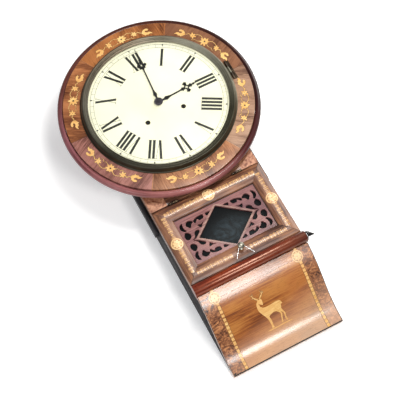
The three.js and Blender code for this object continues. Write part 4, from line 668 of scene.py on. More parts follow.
def ringGrain(spot, middle):
    sector = round(math.atan2(middle.x, middle.z) / (math.pi / 3))
    a = sector * math.pi / 3
    across = spot.x * math.cos(a) - spot.z * math.sin(a)
    along = spot.x * math.sin(a) + spot.z * math.cos(a)
    return along + 330 * sector - spot.y, across


bm = bmesh.new()
ringLine = [(faceRing["bore"], faceRing["back"]), (faceRing["outer"], faceRing["back"]),
            (faceRing["outer"], faceRing["front"]), (faceRing["bore"], faceRing["front"])]
turnInto(bm, eased(ringLine, faceRing["ease"]), steps=faceRing["steps"])
finishPiece("face_ring", bm, woods["walnutVeneer"], "case", "head_ring", ringGrain)

# Turned rim moulding round it.
rimTurning = {"behind": [(198.8, 100), (204.2, 100), (208, 103.5)], "bulge": (203.9, 112.5), "radius": 7.3,
              "sweep": (-22, 120), "front": [(198.8, 116.1)], "grainRadius": 205, "steps": 192}


def rimGrain(spot, middle):
    a = math.atan2(middle.x, middle.z)
    b = math.atan2(spot.x, spot.z)
    if abs(b - a) > math.pi:
        b += math.copysign(2 * math.pi, a - b)
    return b * rimTurning["grainRadius"], math.hypot(spot.x, spot.z) - spot.y * 1.4


bm = bmesh.new()
bulgeLine = arcPoints(*rimTurning["bulge"], rimTurning["radius"], *rimTurning["sweep"], 22)
turnInto(bm, rimTurning["behind"] + bulgeLine + rimTurning["front"], steps=rimTurning["steps"])
finishPiece("rim_turning", bm, woods["rimMahogany"], "case", "rim_moulding", rimGrain, 40)


# Boxwood sprays let into the face ring: a big flower, two stars, two curled leaves, joined by stems.
spray = {"radius": 178, "flower": 10.4, "star": 7.2, "starAt": 9.6, "leafAt": 17.6, "lift": 0.05,
         "outline": 0.5, "seamWidth": 0.45}
leafShape = [(-9.0, -0.4), (-6.0, -4.4), (-3.2, -6.0), (-1.2, -8.6), (1.6, -6.6), (5.6, -7.0), (9.2, -4.0),
             (14.6, -4.4), (11.0, -0.4), (6.6, 0.8), (3.4, -0.6), (0.4, 0.2), (-1.6, 2.4), (0.6, 4.0),
             (4.4, 4.2), (6.4, 6.6), (3.8, 8.8), (-0.8, 8.6), (-5.0, 6.2), (-7.2, 2.6)]
stems = [([(2.4, 4), (4.4, 8), (6.6, 7.5), (8.6, 4.5)], 1.3, 1.0),  # degrees and rise, then the two widths
         ([(3.0, -5), (4.6, -7), (6.4, -6)], 1.4, 0.5),
         ([(11.0, 1), (12.4, 3.0), (13.8, 0.2), (15.2, -0.6)], 1.6, 1.3),
         ([(6.6, -5.0), (8.0, -8.4), (9.4, -8.8)], 1.3, 0.5)]


# Petals as a ring of pointed lobes, each a little different.
def petals(count, outer, inner, turn=0.0, vary=0.08):
    points = []
    for i in range(count):
        a = turn + 2 * math.pi * i / count
        step = 2 * math.pi / count
        reach = outer * random.uniform(1 - vary, 1 + vary)
        for share, r in ((-0.5, inner), (-0.2, reach * 0.84), (0.0, reach), (0.2, reach * 0.84)):
            points.append((r * math.sin(a + share * step), r * math.cos(a + share * step)))
    return smoothLine(points, 4)


def ringSpot(degrees, radius):
    a = math.radians(degrees)
    return radius * math.sin(a), radius * math.cos(a)


# A shape of (along the ring, towards its edge), laid round the ring at an angle.
def roundRing(shape, at, radius, side=1):
    return [ringSpot(at + side * math.degrees(px / radius), radius + pz) for px, pz in shape]


def swollen(loop, grow):
    n = len(loop)
    area = sum(loop[i - 1][0] * loop[i][1] - loop[i][0] * loop[i - 1][1] for i in range(n))
    out = []
    for i in range(n):
        run = Vector(loop[(i + 1) % n]) - Vector(loop[i - 1])
        side = Vector((run.y, -run.x)).normalized() * (grow if area > 0 else -grow)
        out.append((loop[i][0] + side.x, loop[i][1] + side.y))
    return out


random.seed(11)
bmLight, bmDark, bmHeart = bmesh.new(), bmesh.new(), bmesh.new()


# A light shape with the thin dark line of its cut round it.
def sprayShape(loop):
    inlayInto(bmLight, [loop], faceRing["front"], spray["lift"])
    inlayInto(bmDark, [swollen(loop, spray["outline"])], faceRing["front"], spray["lift"] * 0.4)


# A light flower with a dark heart; the heart is (petals, outer radius, inner radius).
def sprayFlower(count, outer, inner, turn, at, radius, heart):
    sprayShape(roundRing(petals(count, outer, inner, turn, 0.16), at, radius))
    inlayInto(bmHeart, [roundRing(petals(*heart), at, radius)], faceRing["front"], spray["lift"] + 0.03)


for sector in range(6):
    base, r = sector * 60, spray["radius"]
    sprayFlower(8, spray["flower"], 6.8, 0.3 * sector, base, r - 0.5, (5, 2.3, 1.7))
    for side in (-1, 1):
        sprayFlower(6, spray["star"], 3.9, 0.5 * side, base + side * spray["starAt"], r + 1, (4, 0.7, 0.6))
        sprayShape(roundRing(smoothLine(leafShape, 4), base + side * spray["leafAt"], r - 0.5, side))
        for line, w0, w1 in stems:
            sprayShape(stroke([ringSpot(base + side * t, r + rise) for t, rise in line], w0, w1))
finishPiece("ring_sprays", bmLight, woods["boxwood"], "case")
finishPiece("ring_spray_lines", bmDark, seamDark, "case")
finishPiece("ring_spray_hearts", bmHeart, seamDark, "case")
bm = bmesh.new()
for sector in range(6):
    seam = [ringSpot(30 + 60 * sector, r) for r in (faceRing["bore"] + 14, faceRing["outer"] - 0.6)]
    seamLoop = stroke(seam, spray["seamWidth"], spray["seamWidth"], 1)
    inlayInto(bm, [seamLoop], faceRing["front"], 0.03, 0.3)
finishPiece("ring_seams", bm, seamDark, "case")
print("face ring, rim and sprays made")


# Bezel, its hinge, the domed glass and the putty behind it.
bezelLine = [(159, 123.1), (163, 123.1), (163, 124.9), (160.8, 125.9), (158.6, 134.6), (157.3, 136),
             (155.8, 136), (153.4, 135.3), (152.8, 134.5), (152.0, 134.8), (150.4, 133.7), (149.8, 132.8),
             (149.0, 133.0), (147.6, 132.4), (147.1, 131.9), (146.5, 132.0), (145.6, 131.6),
             (145.6, 131.1), (149, 131.1), (153, 133.2), (156.8, 134.4), (159, 125.5)]
hinge = {"x": 165.6, "d": 125.2, "knuckle": 2.3, "bore": 1.4, "half": 7.53, "ease": 0.25,
         "leafX": (161.2, 163.9), "leafD": (124.5, 125.5)}
bm = bmesh.new()
turnInto(bm, eased(bezelLine, 0.5, 4), steps=192)
r, bore, high, ease = hinge["knuckle"], hinge["bore"], hinge["half"], hinge["ease"]
knuckleLine = [(r - ease, -high), (r, ease - high), (r, high - ease), (r - ease, high), (bore, high),
               (bore, -high)]
turnInto(bm, knuckleLine, (hinge["x"], hinge["d"], 0), "z", 28)
leaf = [placed(x, d, z) for x in hinge["leafX"] for d in hinge["leafD"] for z in (-high, high)]
addFaces(bm, leaf, [(0, 1, 3, 2), (4, 6, 7, 5), (0, 4, 5, 1), (2, 3, 7, 6), (0, 2, 6, 4), (1, 5, 7, 3)])
finishPiece("bezel_turning", bm, metals["agedBrass"], "bezel", "bezel", crease=38)
dressCopy("bezel_hinge_plate", metals["hingeBrass"], "case", 0.15)

glassShape = {"radius": 148.6, "rise": 12, "edgeBack": 128.9, "thick": 1.5}
bm = bmesh.new()
shell = [(glassShape["radius"] * s, glassShape["edgeBack"] + glassShape["rise"] * (1 - s * s))
         for s in [k / 24 for k in range(25)]]
turnInto(bm, [(r, d + glassShape["thick"]) for r, d in shell] + shell[::-1], closed=False)
finishPiece("bezel_glass_dome", bm, clearGlass, "bezel", "bezel_glass", crease=50)
bm = bmesh.new()
turnInto(bm, [(146.6, 127.3), (153.6, 127.3), (153.6, 132.8), (148.9, 128.6), (146.6, 128.6)])
finishPiece("putty_ring", bm, plains["puttyGrey"], "bezel", "glazing_ring")
print("bezel and glass made")


# Painted dial, with its holes, numerals and minute track.
dial = {"radius": 152.4, "back": 124.8, "front": 126.0, "boss": 5.2,
        "holes": ((-40.9, -32.2), (40.9, -32.2)), "holeRadius": 5.0, "ease": 0.3, "numeralIn": 88.5,
        "numeralOut": 131, "thick": 5.2, "thin": 0.6, "serif": 0.6, "trackIn": 134.2, "trackOut": 141.8,
        "trackLine": 0.32, "ink": 0.09, "trackInk": 0.05, "cut": 0.3}


def circle(x, z, radius, steps=96):
    return [(x + radius * math.cos(2 * math.pi * i / steps), z + radius * math.sin(2 * math.pi * i / steps))
            for i in range(steps)]


holes = [circle(x, z, dial["holeRadius"], 36) for x, z in dial["holes"]]
dialLoops = [circle(0, 0, dial["radius"], 160), circle(0, 0, dial["boss"], 36)] + holes
cutPlate("dial_face", dialLoops, dial["back"], dial["front"], plains["dialPaint"], "case",
         "dial_plate", dial["ease"])


def bar(x0, r0, x1, r1, width):
    return [(x0 - width / 2, r0), (x0 + width / 2, r0), (x1 + width / 2, r1), (x1 - width / 2, r1)]


# Outlines of one Roman letter in (across, radius), and how far on the next one starts.
def letter(kind, at):
    low, high = dial["numeralIn"], dial["numeralOut"]
    thick, thin, serif = dial["thick"], dial["thin"], dial["serif"]
    if kind == "I":
        x = at + 4
        return [bar(x, low, x, high, thick), bar(x, low, x, low + serif, 7.6),
                bar(x, high - serif, x, high, 7.6)], 8.1
    if kind == "V":
        x = at + 3.2
        return [bar(x + 4.6, low, x, high, thick * 0.96), bar(x + 5.4, low, x + 10.4, high, thin),
                bar(x, high - serif, x, high, 7.2), bar(x + 10.2, high - serif, x + 10.2, high, 5.4)], 15.2
    x = at + 3.4
    return [bar(x + 8.4, low, x, high, thick * 0.96), bar(x, low, x + 8.6, high, thin),
            bar(x, high - serif, x, high, 6.8), bar(x + 8.6, high - serif, x + 8.6, high, 5.2),
            bar(x, low, x, low + serif, 5.2), bar(x + 8.4, low, x + 8.4, low + serif, 6.8)], 15.4


bm = bmesh.new()
for hour, word in enumerate("XII I II III IIII V VI VII VIII IX X XI".split()):
    at = -sum(letter(kind, 0)[1] for kind in word) / 2
    for kind in word:
        loops, step = letter(kind, at)
        at += step
        for k, loop in enumerate(loops):
            ink = dial["ink"] + 0.004 * k
            inlayInto(bm, [turned(loop, -math.radians(hour * 30))], dial["front"], ink, dial["cut"])
finishPiece("dial_numerals", bm, plains["numeralInk"], "case", weld=0.0005)

bm = bmesh.new()
for radius in (dial["trackIn"], dial["trackOut"]):
    edges = [circle(0, 0, radius + off, 180) for off in (dial["trackLine"], -dial["trackLine"])]
    inlayInto(bm, edges, dial["front"], dial["trackInk"], dial["cut"])
finishPiece("dial_track", bm, plains["trackInk"], "case", weld=0.0005)


# Starts a tree of geometry nodes with its named inputs.
def startTree(name, inputs):
    tree = bpy.data.node_groups.new(name, "GeometryNodeTree")
    tree.interface.new_socket("Geometry", in_out="OUTPUT", socket_type="NodeSocketGeometry")
    for label, kind in {"Geometry": "Geometry", **inputs}.items():
        tree.interface.new_socket(label, in_out="INPUT", socket_type="NodeSocket" + kind)
    return tree, tree.nodes.new("NodeGroupInput").outputs


# Runs a node tree with its inputs given by name, and leaves a plain mesh.
def grown(name, tree, values, body, path=((0, 0, 0),)):
    seedMesh = bpy.data.meshes.new(name + "_seed")
    seedMesh.from_pydata(path, [(i, i + 1) for i in range(len(path) - 1)], [])
    holder = bpy.data.objects.new(name + "_seed", seedMesh)
    bpy.context.collection.objects.link(holder)
    modifier = holder.modifiers.new("grow", "NODES")
    modifier.node_group = tree
    keys = {item.name: item.identifier for item in tree.interface.items_tree if item.in_out == "INPUT"}
    for label, value in values.items():
        modifier[keys[label]] = value
    made = bpy.data.meshes.new_from_object(holder.evaluated_get(bpy.context.evaluated_depsgraph_get()))
    bpy.data.objects.remove(holder)
    inks = list(made.materials)
    bm = bmesh.new()
    bm.from_mesh(made)
    bpy.data.meshes.remove(made)
    finishPiece(name, bm, inks, body, weld=0.0005)


# One mark repeated round a circle of points, each turned to face the middle.
dialMarks, given = startTree("dialMarks", {"Count": "Int", "Radius": "Float", "Length": "Float",
                                           "Width": "Float", "Front": "Float", "Corners": "Int",
                                           "Ink": "Material"})
ring = addNode(dialMarks, "GeometryNodeMeshCircle", {"Vertices": given["Count"], "Radius": given["Radius"]})
mark = addNode(dialMarks, "GeometryNodeMeshCylinder", {"Vertices": given["Corners"], "Radius": 0.5,
                                                       "Depth": 0.0003})
spot = addNode(dialMarks, "GeometryNodeInputPosition")
aim = addNode(dialMarks, "FunctionNodeAlignEulerToVector", {"Vector": spot}, axis="X", pivot_axis="Z")
size = addNode(dialMarks, "ShaderNodeCombineXYZ", {0: given["Length"], 1: given["Width"], 2: 1})
put = addNode(dialMarks, "GeometryNodeInstanceOnPoints", {"Points": ring, "Instance": mark, "Rotation": aim,
                                                          "Scale": size})
real = addNode(dialMarks, "GeometryNodeRealizeInstances", {0: put})
shift = addNode(dialMarks, "ShaderNodeCombineXYZ", {1: sums(dialMarks, "MULTIPLY", given["Front"], -1)})
stand = addNode(dialMarks, "GeometryNodeTransform", {0: real, "Rotation": (math.pi / 2, 0, 0),
                                                     "Translation": shift})
dye = addNode(dialMarks, "GeometryNodeSetMaterial", {0: stand, "Material": given["Ink"]})
addNode(dialMarks, "NodeGroupOutput", {0: dye})

track = (dial["trackOut"] + dial["trackIn"]) / 2
diagonal = 1.414  # a square mark's corners are this much of its side apart
for name, count, radius, length, width, sunk, ink in (
        ("minute_ticks", 60, track, 7.4 * diagonal, 0.42 * diagonal, 0.07, "trackInk"),
        ("hour_diamonds", 12, dial["trackOut"] - 1.6, 5.6, 3.4, 0.02, "numeralInk")):
    grown(name, dialMarks, {"Count": count, "Radius": radius * mm, "Length": length * mm,
                            "Width": width * mm, "Front": (dial["front"] - sunk) * mm, "Corners": 4,
                            "Ink": plains[ink]}, "case")
print("dial made")


# Hands with a pierced cross, a bulb near the boss and a long point.
handShapes = {
    "hour_hand": {"length": 89.5, "cross": 67.5, "reach": 12.4, "stem": 3.6, "hub": 7.0, "bulb": 4.8,
                  "back": 127.2, "front": 128.0, "ease": 0.12, "turn": 86.0, "body": "hour"},
    "minute_hand": {"length": 139.5, "cross": 95.5, "reach": 10.2, "stem": 3.3, "hub": 6.0, "bulb": 3.9,
                    "back": 128.6, "front": 129.4, "ease": 0.12, "turn": 4.9, "body": "minute"},
}


# Outlines of a hand and of the window in its cross, as (across, along).
def handOutline(shape):
    r, q, w, bulb = shape["cross"], shape["reach"], shape["stem"] / 2, shape["bulb"]
    arm = [(1.06, 0.0), (0.9, 0.22), (0.84, 0.38), (0.62, 0.27), (0.42, 0.2), (0.27, 0.27)]
    lobes = [(w, shape["hub"] * 0.9), (w * 1.2, 13.5), (bulb, 18.7), (w * 1.5, 24), (w * 0.9, 30),
             (w * 0.8, r - q * 1.3)]
    lobes += [(along * q, r - out * q) for out, along in arm[1:]]
    lobes += [(out * q, r - along * q) for out, along in arm[-2::-1]]
    lobes += [(out * q, r + along * q) for out, along in arm[1:]]
    lobes += [(along * q, r + out * q) for out, along in arm[-2:0:-1]]
    lobes += [(w * 0.7, r + q * 1.08), (w * 1.5, r + q * 1.28), (w * 0.7, r + q * 1.52)]
    lobes += [(0.35, shape["length"])]
    left = [(-x, y) for x, y in reversed(lobes)]
    start = math.degrees(math.asin(w / shape["hub"]))
    hub = arcPoints(0, 0, shape["hub"], 90 - start, -270 + start, 36)
    outer = lobes + left + [(x, y) for x, y in reversed(hub)]
    gap = q * 0.3
    window = [(0, r + gap), (gap, r), (0, r - gap), (-gap, r)]
    return outer, window


for name, shape in handShapes.items():
    loops = [turned(loop, -math.radians(shape["turn"])) for loop in handOutline(shape)]
    cutPlate(name + "_steel", loops, shape["back"], shape["front"], metals["blackSteel"], shape["body"],
             name, shape["ease"])

bm = bmesh.new()
nutLine = [(0, 129.7), (9, 129.7), (9, 130.9), (8.4, 131.7), (6, 132.05), (0, 132.1)]
turnInto(bm, nutLine, steps=64, closed=False)
finishPiece("hand_nut_steel", bm, metals["nutSteel"], "minute", "hand_nut")
print("hands made")


# Trunk door: four mitred members with a crowned face.
door = {"half": 122.5, "top": -204.3, "bottom": -377.9, "stile": 32.0, "topWidth": 34.5,
        "bottomWidth": 34.1, "back": 75.5, "edge": 92.0, "crown": 5.0, "lip": 88.3, "rabbet": 7.0,
        "mitre": 0.2, "rounding": (0.25, 0.8)}
openTop, openBottom = door["top"] - door["topWidth"], door["bottom"] + door["bottomWidth"]
openHalf = door["half"] - door["stile"]


def crownAt(share):
    s = 2 * share - 1
    return door["edge"] + door["crown"] * (1 - s * s)


# The outer and the inner corner of the door's frame, at a side and an end.
def doorCorners(sx, sz):
    outerZ, innerZ = (door["top"], openTop) if sz > 0 else (door["bottom"], openBottom)
    return (sx * door["half"], outerZ), (sx * openHalf, innerZ)


def between(a, b, share):
    return [p + (q - p) * share for p, q in zip(a, b)]


# A member between two mitres, each given as a corner of the frame.
def memberInto(bm, start, end, width):
    (a, c), (b, d) = doorCorners(*start), doorCorners(*end)
    edge, deep = door["edge"], 1 - door["rabbet"] / width
    round0, round1 = door["rounding"]
    shares = [(round1 + (width - 2 * round1) * k / 22) / width for k in range(23)]
    section = [(0, door["back"]), (0, edge - round1), (round0 / width, edge - round0)]
    section += [(share, crownAt(share)) for share in shares]
    section += [(1 - round0 / width, edge - round0), (1, edge - round1), (1, door["lip"])]
    section += [(deep, door["lip"]), (deep, door["back"])]
    cut = door["mitre"] / math.dist(a, b)
    rows = 12
    points = []
    for r in range(rows + 1):
        s = cut + (1 - 2 * cut) * r / rows
        for share, depth in section:
            x, z = between(between(a, b, s), between(c, d, s), share)
            points.append(placed(x, depth, z))
    addFaces(bm, points, gridFaces(rows + 1, len(section), around=False))


members = [("door_rail_top", (-1, 1), (1, 1), door["topWidth"], alongX),
           ("door_rail_bottom", (-1, -1), (1, -1), door["bottomWidth"], alongX),
           ("door_stile_left", (-1, 1), (-1, -1), door["stile"], alongZ),
           ("door_stile_right", (1, 1), (1, -1), door["stile"], alongZ)]
for name, start, end, width, grain in members:
    bm = bmesh.new()
    memberInto(bm, start, end, width)
    finishPiece(name + "_cushion", bm, woods["doorWalnut"], "door", name, grain)


# Rows of banding tiles along a line on a crowned or swept surface.
bandTiles, given = startTree("bandTiles", {"Pitch": "Float", "Light Length": "Float", "Dark Length": "Float",
                                           "Width": "Float", "Crown": "Float", "Outward": "Vector",
                                           "Seed": "Int", "Light": "Material", "Dark": "Material"})
line = addNode(bandTiles, "GeometryNodeMeshToCurve", {0: given["Geometry"]})
spots = addNode(bandTiles, "GeometryNodeCurveToPoints", {}, mode="LENGTH")
feed(bandTiles, spots, {0: line, "Length": given["Pitch"]})
tangent = spots.outputs["Tangent"]
aim = addNode(bandTiles, "FunctionNodeAlignEulerToVector", {"Vector": tangent}, axis="X")
facing = addNode(bandTiles, "FunctionNodeAlignEulerToVector", {"Rotation": aim, "Vector": given["Outward"]},
                 axis="Z", pivot_axis="X")
odd = sums(bandTiles, "MODULO", addNode(bandTiles, "GeometryNodeInputIndex"), 2)
join = addNode(bandTiles, "GeometryNodeJoinGeometry")
for label, test in (("Light", "LESS_THAN"), ("Dark", "GREATER_THAN")):
    size = addNode(bandTiles, "ShaderNodeCombineXYZ", {0: given[label + " Length"], 1: given["Width"],
                                                       2: 0.0005})
    tile = addNode(bandTiles, "GeometryNodeMeshCube", {"Size": size, "Vertices X": 2, "Vertices Y": 7})
    place = addNode(bandTiles, "GeometryNodeInputPosition")
    across = addNode(bandTiles, "ShaderNodeSeparateXYZ", {0: place}).outputs[1]
    fall = sums(bandTiles, "MULTIPLY", sums(bandTiles, "MULTIPLY", across, across), given["Crown"])
    down = addNode(bandTiles, "ShaderNodeCombineXYZ", {2: fall})
    bent = addNode(bandTiles, "GeometryNodeSetPosition", {0: tile, "Offset": down})
    pick = addNode(bandTiles, "FunctionNodeCompare", {0: odd, 1: 0.5}, data_type="FLOAT", operation=test)
    vary = addNode(bandTiles, "FunctionNodeRandomValue", {"Seed": given["Seed"]}, data_type="FLOAT_VECTOR")
    feed(bandTiles, vary, {0: (0.62, 0.86, 1), 1: (1.0, 1.0, 1)})
    put = addNode(bandTiles, "GeometryNodeInstanceOnPoints", {"Points": spots, "Selection": pick,
                                                              "Instance": bent, "Rotation": facing,
                                                              "Scale": vary})
    real = addNode(bandTiles, "GeometryNodeRealizeInstances", {0: put})
    dye = addNode(bandTiles, "GeometryNodeSetMaterial", {0: real, "Material": given[label]})
    feed(bandTiles, join, {0: dye})
addNode(bandTiles, "NodeGroupOutput", {0: join})

banding = {"pitch": 3.6, "light": 4.6, "dark": 2.4, "width": 9.6, "sink": 0.2,
           "lightWood": "bandBoxwood", "darkWood": "amberWood"}
sideBanding = {"pitch": 4.4, "light": 7.5, "dark": 1.2, "width": 6.4, "sink": 0.18,
               "lightWood": "boxwood", "darkWood": "bandBoxwood"}
dotBanding = {"pitch": 1.7, "light": 1.5, "dark": 1.5, "width": 2.2, "sink": 0.2,
              "lightWood": "doorWalnut", "darkWood": "amberWood"}


def bandRow(name, points, body, crown, seed, tiles=banding):
    values = {"Pitch": tiles["pitch"] * mm, "Light Length": tiles["light"] * mm,
              "Dark Length": tiles["dark"] * mm, "Width": tiles["width"] * mm, "Crown": -crown / mm,
              "Outward": (0.0, -1.0, 0.0), "Seed": seed, "Light": woods[tiles["lightWood"]],
              "Dark": woods[tiles["darkWood"]]}
    grown(name, bandTiles, values, body, [tuple(placed(*p)) for p in points])


def crownOf(width):
    return door["crown"] / (width / 2) ** 2


top = door["edge"] + door["crown"] - banding["sink"]
midTop, midBottom = door["top"] - door["topWidth"] / 2, door["bottom"] + door["bottomWidth"] / 2
midSide = door["half"] - door["stile"] / 2
bandRows = [("top_left", -100, -16, midTop, door["topWidth"], 1),  # the last is the seed
            ("top_right", 12, 100, midTop, door["topWidth"], 2),
            ("bottom_left", -98, -24, midBottom, door["bottomWidth"], 3),
            ("bottom_right", 20, 98, midBottom, door["bottomWidth"], 4)]
for label, x0, x1, z, width, seed in bandRows:
    bandRow("door_band_" + label, [(x0, top, z), (x1, top, z)], "door", crownOf(width), seed)
for side, label in ((-1, "left"), (1, "right")):
    x = side * midSide
    for end, z0, z1, seed in (("high", -228, -274, 5), ("low", -302, -354, 8)):
        bandRow("door_band_%s_%s" % (label, end), [(x, top, z0), (x, top, z1)], "door",
                crownOf(door["stile"]), seed + side)


# Round rosettes laid on the same faces. A zone is (radius under a lobe, radius between, which wood).
def roundelInto(bm, x, z, radius, surface, turn, lift=0.16, count=8, steps=96):
    zones = [(0.0, 0.0, 0), (0.10, 0.10, 1), (0.2, 0.2, 0), (0.5, 0.36, 0), (0.74, 0.44, 0), (0.8, 0.8, 1),
             (0.86, 0.86, 0), (0.97, 0.97, 0), (1.0, 1.0, 1), (1.0, 1.0, 1)]
    n = len(zones)
    points = []
    for i in range(steps):
        a = 2 * math.pi * i / steps
        swing = abs(math.cos(count * (a + turn) / 2)) ** 0.6
        for k, (outer, inner, wood) in enumerate(zones):
            r = radius * (inner + (outer - inner) * swing)
            px, pz = x + r * math.cos(a), z + r * math.sin(a)
            points.append(placed(px, surface(px, pz) + (lift if k < n - 1 else -0.4), pz))
    under = [i * n + n - 1 for i in range(steps)]
    marks = [wood for outer, inner, wood in zones[1:]] * steps
    addFaces(bm, points, gridFaces(steps, n, closed=False) + [under], marks + [1])


def crownSurface(middle, width, vertical):
    def height(x, z):
        off = (x if vertical else z) - middle
        return door["edge"] + door["crown"] * (1 - (off / (width / 2)) ** 2)
    return height


bm = bmesh.new()
roundelInto(bm, -2, midTop, 12.8, crownSurface(midTop, door["topWidth"], False), 0.2)
roundelInto(bm, -midSide, -288, 12.6, crownSurface(-midSide, door["stile"], True), 0.5)
roundelInto(bm, midSide, -288.5, 12.4, crownSurface(midSide, door["stile"], True), 0.1)
roundelWoods = [woods["paleBoxwood"], woods["amberWood"]]
finishPiece("door_roundels", bm, roundelWoods, "door", crease=50)


# Dark lines along the four mitres, following the crown.
def seamInto(bm, sx, sz, width, lift=0.04, depth=0.3, inset=0.03, steps=20):
    outer, inner = doorCorners(sx, sz)
    along = Vector((inner[0] - outer[0], inner[1] - outer[1])).normalized()
    sideX, sideZ = -along.y * width / 2, along.x * width / 2
    points = []
    for k in range(steps + 1):
        share = inset + (1 - 2 * inset) * k / steps
        x, z = between(outer, inner, share)
        for side, rise in ((-1, lift), (1, lift), (1, -depth), (-1, -depth)):
            points.append(placed(x + side * sideX, crownAt(share) + rise, z + side * sideZ))
    addFaces(bm, points, gridFaces(steps + 1, 4, around=False))


bm = bmesh.new()
for sx, sz, width in ((-1, 1, 0.5), (1, 1, 0.9), (-1, -1, 0.8), (1, -1, 0.5)):
    seamInto(bm, sx, sz, width)
finishPiece("door_mitre_lines", bm, seamDark, "door")
print("door moulding and banding made")


# Pierced fret with its diamond window, and the dark glass behind it.
fret = {"half": 97.2, "bottom": -350.5, "top": -232.1, "back": 84, "front": 88, "middle": -293.3,
        "halfWidth": 60, "halfHeight": 47, "border": (6.4, 5.0), "ease": 0.35}
fretCuts = [  # one corner of the fret, from the middle of the window
    [(15.1, 41.4), (25.7, 41.6), (25.5, 38.0), (24.1, 35.6), (19.7, 38.0)],
    [(31.6, 42.5), (37.7, 43.2), (44.4, 42.4), (49.7, 40.8), (54.2, 37.6), (54.4, 34.0), (52.3, 32.1),
     (49.7, 34.0), (47.7, 36.1), (45.4, 37.8), (43.9, 36.9), (42.9, 34.3), (39.1, 33.8), (33.7, 34.8),
     (31.7, 38.0)],
    [(56.0, 37.6), (59.7, 41.0), (65.7, 42.4), (70.1, 39.3), (71.9, 34.6), (69.4, 30.6), (66.1, 27.0),
     (64.3, 28.0), (62.1, 31.6), (59.4, 34.3), (57.0, 35.2)],
    [(77.2, 43.0), (82.1, 41.6), (84.9, 37.3), (85.5, 32.0), (82.7, 27.0), (77.9, 23.8), (75.7, 25.3),
     (77.9, 29.3), (78.9, 34.6), (78.3, 39.3)],
    [(79.7, 22.0), (83.1, 19.0), (85.1, 14.0), (84.7, 8.6), (82.4, 5.6), (77.7, 5.3), (73.7, 8.3),
     (71.9, 13.0), (74.1, 18.3)],
    [(52.3, 14.3), (56.1, 17.2), (60.7, 16.5), (64.1, 13.0), (65.4, 7.6), (69.4, 3.2), (73.8, 1.3),
     (70.6, 1.0), (67.0, 2.0), (61.7, 5.3), (56.4, 9.6)],
    [(36.4, 27.3), (42.4, 25.4), (50.4, 26.0), (48.7, 21.3), (46.3, 18.3), (43.1, 21.3), (39.7, 24.6)]]


def box(x0, z0, x1, z1):
    return [(x0, z0), (x1, z0), (x1, z1), (x0, z1)]


# The window's diamond, grown across and up.
def diamond(across, up):
    wide, high = fret["halfWidth"] + across, fret["halfHeight"] + up
    return [(x, fret["middle"] + z) for x, z in ((0, high), (wide, 0), (0, -high), (-wide, 0))]


plateLoops = [box(-fret["half"], fret["bottom"], fret["half"], fret["top"]), diamond(0, 0)]
for cut in fretCuts:
    line = smoothLine(cut, 5)
    plateLoops += [[(sx * x, fret["middle"] + sz * z) for x, z in line] for sx in (-1, 1) for sz in (-1, 1)]
cutPlate("fret_cut", plateLoops, fret["back"], fret["front"], woods["fretWood"], "door",
         "fret_panel", fret["ease"])
bm = bmesh.new()
inlayInto(bm, [diamond(*fret["border"]), diamond(0.72, 0.564)], fret["front"], 0.3)
finishPiece("fret_border", bm, woods["fretEdge"], "door")
# Painted shadow of the door members on the fret: a dark line round the opening, widest at the top and the
# right, over the real gap there.
bm = bmesh.new()
gap = {"left": 0.7, "right": 1.3, "bottom": 0.5, "top": 1.3}
gapAndShadowLoops = [box(-openHalf, openBottom, openHalf, openTop),
            box(gap["left"] - openHalf, openBottom + gap["bottom"], openHalf - gap["right"],
                openTop - gap["top"])]
inlayInto(bm, gapAndShadowLoops, fret["front"], 0.1, 0.3)
finishPiece("fret_gap_and_shadow_line", bm, seamDark, "door")
dressCopy("door_glass", glassWithPaintedShade, "door", 0.2)
for label in ("left", "right"):
    dressCopy("hinge_leaf_" + label, metals["hingeBrass"], "case", 0.15)
    dressCopy("door_leaf_" + label, metals["hingeBrass"], "door", 0.15)

# Turn catch: a small knob through the bottom member, with its bright wire.
knobPlace = (0, 0, -354.4)
bm = bmesh.new()
knobLine = [(0, 71.5), (5, 71.5), (5, 75.2), (2.6, 75.2), (2.6, 97.3), (5, 97.3), (4.6, 98.7),
            (2.6, 99.5), (2.6, 107.5), (5.4, 108.2), (7, 110.4), (6.3, 112.2), (5, 113), (3.6, 112),
            (1.8, 112.6), (0, 112.8)]
turnInto(bm, knobLine, knobPlace, steps=48, closed=False)
finishPiece("knob_turning", bm, metals["greyKnob"], "catch", "door_knob", crease=40)
dressCopy("catch_spring", metals["brightWire"], "catch", 0, crease=70)
print("fret, glass, hinges and catch made")


# Roll moulding across, with its flat rail behind, and the black finial at the right.
roll = {"radius": 12.2, "d": 95, "z": -391.8, "half": 124.5, "flat": 85, "ease": 1.2,
        "rail": (75.5, -404.2, 86, -381.3), "railHalf": 122.5, "railEase": 0.4}
bm = bmesh.new()
reach = math.degrees(math.acos((roll["flat"] - roll["d"]) / roll["radius"]))
rollSection = arcPoints(roll["d"], roll["z"], roll["radius"], -reach, reach, 44)
runInto(bm, rollSection, -roll["half"], roll["half"], roll["ease"])
railSection = eased(box(*roll["rail"]), roll["railEase"])
runInto(bm, railSection, -roll["railHalf"], roll["railHalf"], roll["railEase"])
finishPiece("roll_turning", bm, woods["mahogany"], "case", "roll_moulding")

finial = {"place": (124.8, roll["d"], roll["z"]), "collar": 2.2, "rise": 3, "droop": 7, "length": 16}


# The bud lifts past its collar and then droops to its tip.
def finialRise(along):
    if along < finial["collar"]:
        return 0
    return finial["rise"] - finial["droop"] * ((along - 2) / finial["length"]) ** 1.5


